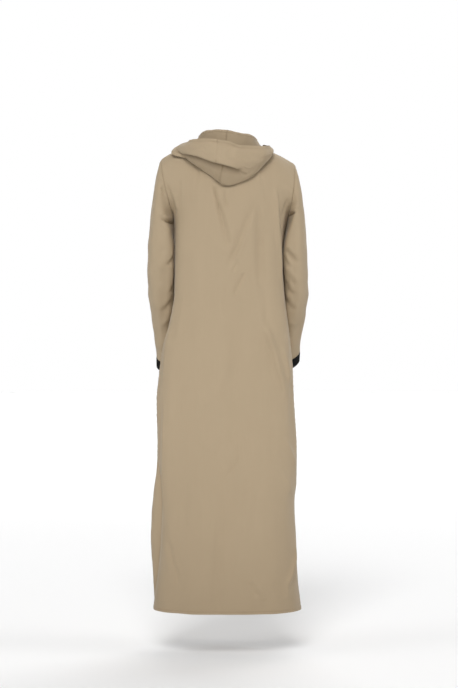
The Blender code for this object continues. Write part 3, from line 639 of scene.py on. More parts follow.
# %% A body panel with its folds, seams and hems
def dressed_panel(grid, side, drawn, seed):
    """The panel's points after all that lies on it, with its place on the flat cloth and marks."""
    facing = 1 if side == BACK else -1
    number = np.arange(len(grid))
    near = smooth(1.5 - np.abs(number - UNDERARM_ROW) / EVEN_ROWS)[1:-1, None, None]
    beside = travelled(grid, 1)
    inset = np.minimum(beside, beside[:, -1:] - beside)
    near = near * smooth(inset / EVEN_INSET)[1:-1, :, None]
    for _ in range(EVEN_PASSES):
        grid[1:-1] += near * 0.5 * ((grid[:-2] + grid[2:]) / 2 - grid[1:-1])
    out = out_of(grid, facing)
    u, v = travelled(grid, 1), travelled(grid, 0)
    from_side = np.minimum(u, u[:, -1:] - u)
    from_top = v[-1:] - v
    sewn = smooth((grid[..., 2] - SLIT_TOP_Z) / SLIT_BLEND + 0.5)
    move = sum(raised(grid, out, view, rows) for view, rows in drawn) + ripple(grid, seed)
    move *= smooth(from_top / TOP_EASE) * (1 - sewn * (1 - smooth(from_side / SIDE_EASE)))
    move += seam(from_top, u, seed + 1) + seam(from_side, v, seed + 2) * sewn
    move += hem(v) + hem(from_side) * (1 - sewn) * smooth(v / HEM_DEPTH)
    flat = np.stack([u - u[:, -1:] / 2, v], -1)
    edge = np.maximum(marks(from_top), marks(from_side) * sewn)
    edge = np.maximum(edge, marks(v - STITCH_AT, HEM_MARK))
    edge = np.maximum(edge, thread_marks(from_side, SLIT_MARK) * (1 - sewn))
    return grid + out * move[..., None], flat, edge


back_grid = body_panel(BACK, SHARES, BACK_TURNS, ROWS_Z, UPPER_STEPS)
back_drawn = [(BEHIND, BACK_FOLDS), (BEHIND, BACK_CREASES)]
back_drawn += [(FROM_LEFT, BACK_SIDE_FOLDS), (FROM_RIGHT, BACK_SIDE_FOLDS)]
back_points, back_flat, back_edge = dressed_panel(back_grid, BACK, back_drawn, 10)
back_cloth = sheet("back_cloth", back_points, back_flat, back_edge, 1)

# %% [markdown]
# ## The front panel
# It is cut like the back, lower at the throat, with a plain slit at the neck. Its folds aren't
# seen from behind, so they are the ones such a robe has: a few from the armpits to the chest,
# and long soft ones from the chest and hips down. The slit is made by leaving its faces out.

# %% The front's folds
FRONT_FOLDS = folds(
    (0.02, -0.27, 0.04, -0.76, 0.004, 0.022, -0.0045, 0, 0.3),
    (-0.024, -0.28, -0.06, -0.7, 0.004, 0.022, -0.004, 0, 0.3),
    (0.128, -0.14, 0.085, -0.36, 0.006, 0.018, -0.005, 0.4, 0.4),
    (-0.132, -0.14, -0.09, -0.37, 0.006, 0.018, -0.005, -0.4, 0.4),
    (0.1, -0.52, 0.15, -0.8, 0.008, 0.018, 0.0055, 0, 0.2),
    (-0.098, -0.54, -0.14, -0.82, 0.008, 0.018, 0.0055, 0, 0.2),
    (0.08, -0.76, 0.104, -1.386, 0.004, 0.034, 0.0045, 0, 0.3),
    (-0.05, -0.72, -0.064, -1.386, 0.004, 0.034, -0.0045, 0, 0.3),
    (0, -0.8, 0.012, -1.386, 0.004, 0.03, 0.004, 0, 0.3),
    (-0.13, -0.85, -0.15, -1.386, 0.004, 0.03, 0.004, 0, 0.3),
    (0.16, -0.15, 0.12, -0.26, 0.004, 0.008, -0.003, 0.4, 0.4),
    (-0.16, -0.16, -0.125, -0.265, -0.004, 0.008, -0.003, -0.4, 0.4),
    (0.15, -0.21, 0.1, -0.3, 0.004, 0.008, 0.0025, 0, 0.4),
    (-0.155, -0.215, -0.105, -0.31, -0.004, 0.008, 0.0025, 0, 0.4),
    (0.105, -0.06, 0.07, -0.15, 0.003, 0.01, -0.002, 0, 0.3),
    (-0.1, -0.06, -0.07, -0.16, -0.003, 0.01, -0.002, 0, 0.3),
    (0.04, -0.9, 0.052, -1.386, 0.003, 0.018, -0.004, 0, 0.4),
    (0.14, -0.9, 0.165, -1.386, 0.004, 0.016, -0.0035, 0, 0.3),
    (-0.098, -0.95, -0.11, -1.386, 0.003, 0.015, -0.0035, 0, 0.3),
    (0.06, -0.42, 0.1, -0.56, 0.006, 0.012, -0.0025),
    (-0.06, -0.43, -0.105, -0.6, -0.006, 0.012, -0.0025),
)
FRONT_SIDE_FOLDS = folds(
    (-0.07, -0.58, -0.09, -0.9, 0.004, 0.012, -0.003),
    (-0.095, -0.76, -0.105, -1.25, 0.003, 0.014, 0.003),
)
FRONT_CREASES = scattered(7, 40, (-0.19, 0.20), (-1.30, -0.16))

# %% The front panel and its neck slit
DRAWN_IN = 0.07
SLIT_FOOT_FADE, SIDE_FADE = 0.012, 0.01

front_grid = body_panel(FRONT, SHARES, FRONT_TURNS, ROWS_Z, UPPER_STEPS)
first = len(SHARES) - 1 + len(LEFT_TURNS) - 1
second = first + 1
middle = (front_grid[:, first] + front_grid[:, second]) / 2
slit_foot = THROAT_Z - NECK_SLIT_LENGTH
widening = ((middle[:, 2] - slit_foot) / NECK_SLIT_LENGTH).clip(0, 1)
half_gap = CENTRE_HALF_STRIP + (NECK_SLIT_HALF_WIDTH - CENTRE_HALF_STRIP) * widening
left_part, right_part = range(first, 0, -1), range(second, front_grid.shape[1])
for column, sign, near in ((first, 1, left_part), (second, -1, right_part)):
    aim = middle.copy()
    aim[:, 0] += sign * half_gap
    missing = aim - front_grid[:, column]
    start = front_grid[:, column].copy()
    for j in near:
        away = np.linalg.norm(front_grid[:, j] - start, axis=1)
        front_grid[:, j] += missing * (smooth(1 - away / DRAWN_IN))[:, None]

front_drawn = [(IN_FRONT, FRONT_FOLDS), (IN_FRONT, FRONT_CREASES)]
front_drawn += [(FROM_LEFT, FRONT_SIDE_FOLDS), (FROM_RIGHT, FRONT_SIDE_FOLDS)]
front_points, front_flat, front_edge = dressed_panel(front_grid, FRONT, front_drawn, 20)
front_out = out_of(front_points, -1)
u = travelled(front_points, 1)
open_rows = smooth((middle[:, 2] - slit_foot) / SLIT_FOOT_FADE)[:, None]
from_slit = np.minimum(np.abs(u - u[:, [first]]), np.abs(u - u[:, [second]]))
front_points = front_points + front_out * (hem(from_slit) * open_rows)[..., None]
front_edge = np.maximum(front_edge, thread_marks(from_slit, SLIT_MARK) * open_rows)

# The front's edges meet the back's along the shoulders and, above the slits, along the sides
v = travelled(front_points, 0)
sides_sewn = smooth((front_grid[..., 2] - SLIT_TOP_Z) / SIDE_FADE)[..., None]
for column in (0, -1):
    missing = (back_points[:, [column]] - front_points[:, [column]]) * sides_sewn[:, [column]]
    # Above the underarm they part again, round the armhole
    above = v[UNDERARM_ROW:, [column]] - v[UNDERARM_ROW, column]
    missing[UNDERARM_ROW:] = missing[UNDERARM_ROW] * bell(above / JOIN_REACH)[..., None]
    front_points = joined(front_points, np.abs(u - u[:, [column]]), missing)
for columns in (slice(0, len(SHARES)), slice(-len(SHARES), None)):
    missing = back_points[-1:, columns] - front_points[-1:, columns]
    part = front_points[:, columns]
    front_points[:, columns] = joined(part, (v[-1:] - v)[:, columns], missing)

# %% The front as a sheet, with the slit's faces left out
slit_cells = np.zeros((len(front_points) - 1, front_points.shape[1] - 1), bool)
slit_cells[np.argmax(middle[:, 2] >= slit_foot) :, first] = True
front_cloth = sheet("front_cloth", front_points, front_flat, front_edge, -1, left_out=slit_cells)

# %% [markdown]
# ## The sleeves
# Each sleeve is a tube that starts at the armhole, where it shares every point with the two
# panels, so the seam closes by itself. Below the cap it follows the arm: down to the elbow, then
# forwards to the wrist. Its cloth bunches at the armpit and the elbow, and is eased into the cuff.

# %% The sleeves' measures
SLEEVE = {
    LEFT: table(
        "z outer inner back front rise_out rise_back",
        (-0.300, 0.2455, 0.1642, 0.070, -0.072, 0.00, 0.00),
        (-0.370, 0.2475, 0.1642, 0.062, -0.079, 0.00, 0.00),
        (-0.430, 0.2455, 0.1645, 0.046, -0.085, 0.00, -0.06),
        (-0.485, 0.2385, 0.1650, 0.024, -0.092, 0.03, -0.14),
        (-0.535, 0.2330, 0.1630, -0.006, -0.106, 0.06, -0.22),
        (-0.585, 0.2275, 0.1600, -0.030, -0.124, 0.10, -0.30),
        (-0.634, 0.2225, 0.1550, -0.054, -0.142, 0.14, -0.36),
        (-0.661, 0.2225, 0.1545, -0.066, -0.154, 0.14, -0.36),
    ),
    RIGHT: table(
        "z outer inner back front rise_out rise_back",
        (-0.300, -0.2360, -0.1632, 0.070, -0.072, 0.00, 0.00),
        (-0.325, -0.2372, -0.1616, 0.068, -0.074, 0.00, 0.00),
        (-0.370, -0.2390, -0.1632, 0.062, -0.079, 0.00, 0.00),
        (-0.430, -0.2405, -0.1670, 0.046, -0.085, 0.03, -0.06),
        (-0.485, -0.2355, -0.1620, 0.024, -0.092, 0.10, -0.14),
        (-0.535, -0.2290, -0.1560, -0.006, -0.106, 0.20, -0.22),
        (-0.585, -0.2200, -0.1490, -0.030, -0.124, 0.32, -0.30),
        (-0.628, -0.2175, -0.1450, -0.052, -0.140, 0.42, -0.34),
        (-0.655, -0.2165, -0.1440, -0.064, -0.152, 0.45, -0.34),
    ),
}
SLEEVE_FULLNESS, PRESSED_FULLNESS = 2.3, 5.0
PRESSED_ABOVE, PRESSED_FADE = -0.50, 0.14
SLEEVE_TOP_Z = -0.30
CUFF_Z = {LEFT: (-0.634, -0.661), RIGHT: (-0.628, -0.655)}
CAP = table(
    "place out deep up",
    (0.00, 0.002, 0.000, -0.10),
    (0.25, 0.090, 0.030, -0.10),
    (0.50, 0.060, 0.000, -0.09),
    (0.75, 0.090, -0.030, -0.10),
    (1.00, 0.002, 0.000, -0.10),
)
CAP_END_UP = -0.12
# At the underarm the cap keeps to the body's side
UNDERARM_OUT, UNDERARM_REACH = {LEFT: -0.004, RIGHT: -0.024}, 0.045
CAP_STEPS = np.concatenate([[0, 0.006, 0.014, 0.026], np.linspace(0.042, 1, 84)])
SLEEVE_ROWS = 112
EDGE_STEPS = np.array([0.0045, 0.0025, 0.001, 0])


def sleeve_ring(side, z, places):
    """The sleeve's section at a height, from the inner side round by the back."""
    rows = SLEEVE[side]
    outer, inner = read(rows, "outer", z), read(rows, "inner", z)
    back, front = read(rows, "back", z), read(rows, "front", z)
    turn = math.pi + np.linspace(0, 2 * math.pi, 2 * CURVE_STEPS - 1)
    # Beside the body the sleeve is pressed flatter
    pressed = smooth((z - PRESSED_ABOVE) / PRESSED_FADE) * smooth(-np.cos(turn) * 4)
    power = 2 / (SLEEVE_FULLNESS + (PRESSED_FULLNESS - SLEEVE_FULLNESS) * pressed)
    x = (outer - inner) / 2 * signed_power(np.cos(turn), power)
    y = -(back - front) / 2 * signed_power(np.sin(turn), power)
    lean = read(rows, "rise_out", z) * side * x + read(rows, "rise_back", z) * y
    points = np.stack([(outer + inner) / 2 + x, (back + front) / 2 + y, z + lean], 1)
    return spaced(points, places)


def sleeve_grid(side, armhole):
    places = np.arange(len(armhole)) / len(armhole)
    leave = np.stack([read(CAP, name, places, "place") for name in ("out", "deep", "up")], 1)
    from_underarm = np.minimum(places, 1 - places)
    leave[:, 0] += UNDERARM_OUT[side] * bell(from_underarm / UNDERARM_REACH)
    leave[:, 0] *= side
    top = sleeve_ring(side, SLEEVE_TOP_Z, places)
    cap = bow(armhole, leave, top, np.array([0, 0, CAP_END_UP]), CAP_STEPS)
    end = CUFF_Z[side][0]
    heights = np.linspace(SLEEVE_TOP_Z, end + 0.008, SLEEVE_ROWS)[1:]
    heights = np.concatenate([heights, end + EDGE_STEPS])
    return np.concatenate([cap, [sleeve_ring(side, z, places) for z in heights]])


# %% The sleeves' folds
SLEEVE_CREASES = {"length": (0.03, 0.08), "width": (0.004, 0.008), "height": 0.0012, "slant": 0.7}
SLEEVE_FOLDS = {
    LEFT: [
        (BEHIND, folds(
            (0.204, -0.213, 0.164, -0.225, 0.002, 0.003, -0.0066, 0, -0.4),
            (0.212, -0.199, 0.166, -0.212, 0.002, 0.0085, 0.0052),
            (0.206, -0.118, 0.17, -0.172, -0.004, 0.0034, -0.0034, 0.4),
            (0.206, -0.235, 0.17, -0.25, -0.003, 0.008, 0.0025),
            (0.204, -0.11, 0.182, -0.16, 0.003, 0.006, -0.0025),
            (0.158, -0.312, 0.186, -0.356, -0.004, 0.006, -0.0045, 0.4, 0.5),
            (0.16, -0.366, 0.176, -0.44, -0.008, 0.007, -0.0045, 0.4, 0.3),
            (0.182, -0.3, 0.214, -0.372, -0.004, 0.011, 0.003, 0, 0.4),
            (0.226, -0.34, 0.206, -0.42, 0.004, 0.01, -0.0025),
            (0.168, -0.45, 0.208, -0.496, -0.004, 0.008, -0.0035, 0.4, 0.3),
            (0.172, -0.478, 0.214, -0.54, -0.005, 0.009, 0.003, 0, 0.3),
            (0.224, -0.47, 0.208, -0.6, 0.003, 0.009, -0.0022),
            (0.19, -0.56, 0.18, -0.64, 0.002, 0.007, 0.0018),
            (0.226, -0.12, 0.238, -0.28, 0.004, 0.012, -0.002, 0, 0.3),
        )),
        (FROM_LEFT, folds(
            (0.01, -0.09, 0, -0.2, 0.004, 0.014, 0.0004, 0, 0.3),
            (0.03, -0.24, -0.05, -0.32, 0.006, 0.012, -0.0006, 0, 0.3),
            (0.024, -0.39, -0.06, -0.43, 0.006, 0.01, -0.0008, 0.4, 0.3),
            (0.02, -0.43, -0.07, -0.45, 0.006, 0.01, 0.0006, 0, 0.3),
            (0, -0.48, -0.086, -0.5, 0.006, 0.01, -0.0006, 0.4, 0.3),
            (-0.04, -0.54, -0.11, -0.6, 0.004, 0.01, -0.0004, 0, 0.3),
        )),
        (IN_FRONT, folds(
            (0.17, -0.2, 0.214, -0.226, 0.003, 0.005, -0.005, 0, 0.3),
            (0.172, -0.232, 0.21, -0.262, 0.003, 0.008, 0.003, 0, 0.3),
            (0.172, -0.4, 0.236, -0.43, 0.006, 0.008, -0.005, 0.4, 0.2),
            (0.172, -0.44, 0.232, -0.462, 0.005, 0.008, -0.0045, 0.4, 0.2),
            (0.17, -0.48, 0.22, -0.52, 0.004, 0.008, -0.003, 0, 0.2),
            (0.18, -0.3, 0.2, -0.38, 0.004, 0.01, -0.0025, 0, 0.2),
        )),
        (BEHIND, scattered(31, 12, (0.17, 0.23), (-0.56, -0.12), **SLEEVE_CREASES)),
    ],
    RIGHT: [
        (BEHIND, folds(
            (-0.2, -0.192, -0.172, -0.203, -0.002, 0.003, -0.005, 0, 0.3),
            (-0.212, -0.178, -0.174, -0.19, -0.002, 0.009, 0.0035),
            (-0.19, -0.088, -0.182, -0.135, 0.001, 0.005, -0.0025),
            (-0.212, -0.11, -0.222, -0.26, -0.003, 0.012, -0.002, 0, 0.3),
            (-0.16, -0.316, -0.184, -0.362, 0.003, 0.0055, -0.0035, 0, 0.4),
            (-0.166, -0.3, -0.212, -0.352, 0.004, 0.009, -0.005, -0.4, 0.4),
            (-0.172, -0.35, -0.216, -0.404, 0.005, 0.01, 0.0035, 0, 0.3),
            (-0.164, -0.392, -0.196, -0.446, 0.005, 0.008, -0.0035, -0.4, 0.3),
            (-0.16, -0.44, -0.204, -0.492, 0.004, 0.008, -0.0035, -0.4, 0.3),
            (-0.164, -0.48, -0.208, -0.54, 0.005, 0.009, 0.0028, 0, 0.3),
            (-0.214, -0.45, -0.198, -0.59, -0.003, 0.009, -0.0022),
            (-0.176, -0.56, -0.168, -0.63, -0.002, 0.007, 0.0018),
        )),
        (FROM_RIGHT, folds(
            (0.01, -0.1, 0, -0.21, 0.004, 0.014, 0.0004, 0, 0.3),
            (0.03, -0.25, -0.05, -0.33, 0.006, 0.012, -0.0006, 0, 0.3),
            (0.024, -0.38, -0.06, -0.424, 0.006, 0.01, -0.0008, 0.4, 0.3),
            (0.02, -0.424, -0.07, -0.446, 0.006, 0.01, 0.0006, 0, 0.3),
            (0, -0.47, -0.086, -0.494, 0.006, 0.01, -0.0006, 0.4, 0.3),
            (-0.04, -0.53, -0.11, -0.59, 0.004, 0.01, -0.0004, 0, 0.3),
        )),
        (IN_FRONT, folds(
            (-0.176, -0.2, -0.212, -0.226, -0.003, 0.005, -0.005, 0, 0.3),
            (-0.178, -0.232, -0.21, -0.262, -0.003, 0.008, 0.003, 0, 0.3),
            (-0.174, -0.394, -0.228, -0.424, -0.006, 0.008, -0.005, -0.4, 0.2),
            (-0.17, -0.434, -0.224, -0.458, -0.005, 0.008, -0.0045, -0.4, 0.2),
            (-0.164, -0.476, -0.212, -0.514, -0.004, 0.008, -0.003, 0, 0.2),
            (-0.182, -0.3, -0.2, -0.38, -0.004, 0.01, -0.0025, 0, 0.2),
        )),
        (BEHIND, scattered(32, 12, (-0.225, -0.165), (-0.56, -0.12), **SLEEVE_CREASES)),
    ],
}
SLEEVE_RIPPLE = {"size": 0.07, "height": 0.0005}
# The folds fade out by the armhole and the cuff, and the seam's lift down the sleeve
CAP_EASE, CUFF_EASE, LIFT_FADE = 0.014, 0.012, 0.05
GATHERS, FINE_GATHERS, GATHER_HEIGHT, GATHER_REACH = 22, 31, 0.0011, 0.022
GATHER_EASE = 0.006
CUFF_SINK, CUFF_SINK_REACH = 0.0010, 0.003


# %% The sleeves
def unrolled(across, down):
    """Where a ring's points lie on the flat cloth, with each row on one level."""
    return np.stack([across, np.broadcast_to(down.mean(1, keepdims=True), across.shape)], -1)


def make_sleeve(side, word, seed):
    column = 0 if side == LEFT else -1
    up = back_points[UNDERARM_ROW:, column]
    down = front_points[UNDERARM_ROW:, column][::-1]
    armhole = np.concatenate([up, down[1:-1]])
    grid = sleeve_grid(side, armhole)
    out = out_of(grid, side, around=True)
    v, u = travelled(grid, 0), travelled(closed(grid), 1)
    to_cuff = v[-1:] - v
    move = sum(raised(grid, out, view, rows) for view, rows in SLEEVE_FOLDS[side])
    move += ripple(grid, seed, **SLEEVE_RIPPLE)
    move *= smooth(v / CAP_EASE) * smooth(to_cuff / CUFF_EASE)
    # The armhole's points already lie in the seam's groove, so the sleeve rises out of it
    lift = seam(v, u[:, :-1], seed + 1) - seam(np.zeros(1))[0]
    move += lift * np.exp(-v / LIFT_FADE)
    turn = np.linspace(0, 2 * math.pi, grid.shape[1], endpoint=False)
    gathers = np.sin(GATHERS * turn + 1.5 * np.sin(3 * turn)) + 0.5 * np.sin(FINE_GATHERS * turn)
    move += GATHER_HEIGHT * gathers * bell(to_cuff / GATHER_REACH) * smooth(to_cuff / GATHER_EASE)
    move -= CUFF_SINK * bell(to_cuff / CUFF_SINK_REACH)
    points = grid + out * move[..., None]
    edge = np.maximum(marks(v), marks(to_cuff))
    flat = unrolled(u - u[:, -1:] / 2, v)
    return sheet(f"sleeve_{word}_cloth", points, flat, edge, side, around=True)


sleeve_left_cloth = make_sleeve(LEFT, "left", 40)
sleeve_right_cloth = make_sleeve(RIGHT, "right", 50)

# %% [markdown]
# ## The cuffs
# The black bands that end the sleeves are knitted in rib, which stretches and closes up again.
# The ribs run along the arm and are close and even, so they are worked into the ring's own points.

# %% The cuffs
CUFF_PROUD = 0.0012
# The knit laps over the end of the sleeve, so that no light shows between them
CUFF_LAP = 0.0025
CUFF_RIBS, CUFF_POINTS_A_RIB, CUFF_ROWS = 78, 6, 15
RIB_HEIGHT, RIB_ROUND, RIB_FADE = 0.0005, 0.7, 0.002
CUFF_ROLL, CUFF_ROLL_REACH = 0.0016, 0.0035
KNIT_THICKNESS = 0.0018


def make_cuff(side, word):
    count = CUFF_RIBS * CUFF_POINTS_A_RIB
    places = np.arange(count) / count
    top, end = CUFF_Z[side][0] + CUFF_LAP, CUFF_Z[side][1]
    share = np.linspace(0, 1, CUFF_ROWS)
    share = smooth(share) * 0.5 + share * 0.5
    grid = np.stack([sleeve_ring(side, z, places) for z in top + (end - top) * share])
    out = out_of(grid, side, around=True)
    v = travelled(grid, 0)
    from_edge = np.minimum(v, v[-1:] - v)
    ribs = np.abs(np.cos(math.pi * CUFF_RIBS * places)) ** RIB_ROUND
    move = CUFF_PROUD + RIB_HEIGHT * (ribs - 0.5) * smooth(from_edge / RIB_FADE)
    move = move - CUFF_ROLL * (1 - smooth(from_edge / CUFF_ROLL_REACH)) ** 2
    points = grid + out * move[..., None]
    flat = unrolled(travelled(closed(grid), 1), v)
    name, bare = f"cuff_{word}_knit", np.zeros_like(v)
    return sheet(name, points, flat, bare, side, around=True, thickness=KNIT_THICKNESS)


cuff_left_knit = make_cuff(LEFT, "left")
cuff_right_knit = make_cuff(RIGHT, "right")

# %% [markdown]
# ## The hood
# Thrown back, the hood stands up against the neck, folds over and falls as a pouch on the
# shoulders, open at the top. Its edge, which is in front when the hood is up, then lies across
# the top of the pouch's outer wall. That wall has sagged over itself in one long slanting tuck.
#
# The form is read as a profile at each angle round the neck, so that the tuck can be a real fold
# of cloth: its rows follow the tuck's line, and turn under and up again as the cloth does.

# %% The hood's measures
HOOD = table(
    "turn fold_r fold_z fall_r fall_z inner_r inner_z low_r low_z wall_r wall_z rim_r rim_z round",
    (-90, 0.084, -0.045, 0.090, -0.049, 0.097, -0.060, 0.104, -0.068, 0.110, -0.060, 0.110, -0.052, 0.0030),
    (-60, 0.084, -0.018, 0.092, -0.024, 0.103, -0.040, 0.112, -0.052, 0.118, -0.044, 0.117, -0.034, 0.0035),
    (-30, 0.082, 0.026, 0.096, 0.006, 0.118, -0.014, 0.134, -0.026, 0.136, -0.010, 0.120, 0.004, 0.0040),
    (0, 0.079, 0.0455, 0.092, 0.0300, 0.141, 0.0092, 0.167, -0.0030, 0.148, 0.0135, 0.107, 0.0290, 0.0030),
    (14, 0.0785, 0.0500, 0.092, 0.0290, 0.136, -0.0008, 0.173, -0.0165, 0.152, 0.0060, 0.115, 0.0265, 0.0040),
    (30, 0.078, 0.053, 0.094, 0.020, 0.117, -0.016, 0.1392, -0.036, 0.151, -0.006, 0.129, 0.019, 0.0032),
    (60, 0.078, 0.054, 0.097, 0.006, 0.112, -0.045, 0.1218, -0.081, 0.151, -0.038, 0.148, 0.020, 0.0034),
    (90, 0.079, 0.050, 0.101, 0.000, 0.114, -0.070, 0.1228, -0.118, 0.161, -0.064, 0.155, 0.010, 0.0034),
    (105, 0.079, 0.047, 0.100, -0.001, 0.115, -0.066, 0.1250, -0.110, 0.160, -0.058, 0.156, -0.002, 0.0034),
    (120, 0.079, 0.0435, 0.099, 0.000, 0.116, -0.056, 0.1285, -0.095, 0.160, -0.049, 0.156, -0.002, 0.0034),
    (150, 0.080, 0.0405, 0.097, 0.008, 0.119, -0.019, 0.1388, -0.040, 0.155, -0.015, 0.144, 0.004, 0.0032),
    (180, 0.080, 0.036, 0.098, 0.013, 0.118, 0.003, 0.138, -0.005, 0.129, 0.0060, 0.106, 0.0145, 0.0028),
    (210, 0.082, 0.024, 0.096, 0.004, 0.116, -0.014, 0.132, -0.026, 0.134, -0.011, 0.118, 0.002, 0.0040),
    (240, 0.084, -0.018, 0.092, -0.024, 0.103, -0.040, 0.112, -0.052, 0.118, -0.044, 0.117, -0.034, 0.0035),
    (270, 0.084, -0.045, 0.090, -0.049, 0.097, -0.060, 0.104, -0.068, 0.110, -0.060, 0.110, -0.052, 0.0030),
)
FOLD_ROUND = 0.0035
ROUND_DEPTH = 0.7
FOLD_KNOT, LOW_KNOT, RIM_KNOT = 2, 7, 10
THROAT_TURN = -95
CENTRE_SEAM_TURN, CENTRE_SEAM_SLIP = 90, -11

# The tuck's height at each angle, and how far the cloth above it bulges over the cloth below
TUCK = table(
    "turn z depth",
    (0, 0.002, 0.000),
    (14, -0.009, 0.000),
    (22, -0.011, 0.004),
    (30, -0.012, 0.008),
    (37, -0.0135, 0.010),
    (58, -0.027, 0.012),
    (75, -0.044, 0.012),
    (88, -0.055, 0.011),
    (96, -0.061, 0.008),
    (103, -0.068, 0.003),
    (110, -0.075, 0.000),
    (125, -0.088, 0.000),
)
TUCK_FADE = 0.030


# %% The hood's surface
def rounded(before, corner, after, size):
    """A corner's three knots, for a turn as wide as the size on each side."""
    inward = unit((before + after) / 2 - corner)
    across = np.stack([inward[:, 1], -inward[:, 0]], 1)
    across *= np.where(((after - before) * across).sum(1, keepdims=True) < 0, -1, 1)
    sides = [corner + sign * size * across + ROUND_DEPTH * size * inward for sign in (-1, 1)]
    return [sides[0], corner, sides[1]]


def hood_knots(foot, turn):
    """The profile's knots at each angle, as distances from the neck's middle and heights."""
    at = {
        name: np.stack([read(HOOD, name + part, turn, "turn") for part in ("_r", "_z")], 1)
        for name in ("fold", "fall", "inner", "low", "wall", "rim")
    }
    size = read(HOOD, "round", turn, "turn")[:, None]
    knots = [foot, *rounded(foot, at["fold"], at["fall"], FOLD_ROUND), at["fall"], at["inner"]]
    knots += rounded(at["inner"], at["low"], at["wall"], size)
    return np.array([*knots, at["wall"], at["rim"]])


def through(knots, step):
    """A smooth curve through the knots of every column, read at a step that counts them."""
    before = np.concatenate([2 * knots[:1] - knots[1:2], knots, 2 * knots[-1:] - knots[-2:-1]])
    spans = np.linalg.norm(np.diff(before, axis=0), axis=-1) ** 0.5
    times = np.concatenate([np.zeros((1, spans.shape[1])), np.cumsum(spans, 0)])[..., None]
    i = min(int(step), len(knots) - 2) + 1
    t0, t1, t2, t3 = times[i - 1 : i + 3]
    p0, p1, p2, p3 = before[i - 1 : i + 3]
    t = t1 + (step - i + 1) * (t2 - t1)
    a1 = ((t1 - t) * p0 + (t - t0) * p1) / (t1 - t0)
    a2 = ((t2 - t) * p1 + (t - t1) * p2) / (t2 - t1)
    a3 = ((t3 - t) * p2 + (t - t2) * p3) / (t3 - t2)
    b1 = ((t2 - t) * a1 + (t - t0) * a2) / (t2 - t0)
    b2 = ((t3 - t) * a2 + (t - t1) * a3) / (t3 - t1)
    return ((t2 - t) * b1 + (t - t1) * b2) / (t2 - t1)


def hood_curves(theta, steps):
    """The hood from the neck seam to the rim, and the angle of each point in degrees."""
    foot = neckline(theta)
    turn = np.degrees(np.arctan2(foot[:, 1], foot[:, 0] - NECK_X))
    turn = np.where(turn < THROAT_TURN, turn + 360, turn)
    foot = np.stack([np.hypot(foot[:, 0] - NECK_X, foot[:, 1]), foot[:, 2]], 1)
    near = np.clip(1 - np.abs(turn - CENTRE_SEAM_TURN) / 90, 0, 1) ** 2
    points, turns = [], []
    for step in steps:
        slip = CENTRE_SEAM_SLIP * smooth((step - FOLD_KNOT) / (LOW_KNOT - FOLD_KNOT))
        at = turn + slip * near
        r, z = through(hood_knots(foot, at), step).T
        angle = np.radians(at)
        points.append(np.stack([NECK_X + r * np.cos(angle), r * np.sin(angle), z], 1))
        turns.append(at)
    return np.array(points), np.array(turns)


# %% The tuck's rows
# From above: down, round the roll's foot, up behind it, and down again as the lower layer. Each
# has its height along the cloth, then its distance out as a share of the bulge and in metres
TUCK_PATH = table(
    "up share more",
    (0.0130, 1.00, 0.0000),
    (0.0065, 1.00, 0.0002),
    (0.0005, 1.00, 0.0003),
    (-0.0045, 0.97, 0.0001),
    (-0.0066, 0.80, -0.0002),
    (-0.0044, 0.62, -0.0006),
    (0.0010, 0.50, -0.0006),
    (0.0045, 0.30, -0.0006),
    (0.0020, 0.05, -0.0004),
    (-0.0030, 0.12, 0.0000),
    (-0.0075, 0.20, 0.0000),
    (-0.0130, 0.22, 0.0000),
)
LOWER_SWELL = 0.22
TUCK_ROWS = 36
TUCK_HALF = 0.013
TUCK_SCALE = 0.009
LAP_FROM_DEPTH = 0.006
# The tuck takes up no more than this share of the cloth on each side of it
TUCK_HALF_SHARE = 0.45
# Where the cloth between two edges is shorter than these, its rows or its hem draw closer together
SHORT_FALL, SHORT_WALL, SHORT_RIM = 0.06, 0.035, 0.05
PLAIN_SLOPE = 0.02
COLLAR_STEPS = np.array(
    [0.0015, 0.003, 0.005, 0.007, 0.0082, 0.0091, 0.010, 0.0109, 0.012, 0.014, 0.017, 0.020]
)
COLLAR_LINE = 0.0100
FOOT_ROWS, FALL_ROWS, LOWER_ROWS, UPPER_WALL_ROWS = 14, 42, 16, 26
LOW_ROW = FOOT_ROWS + len(COLLAR_STEPS) + FALL_ROWS


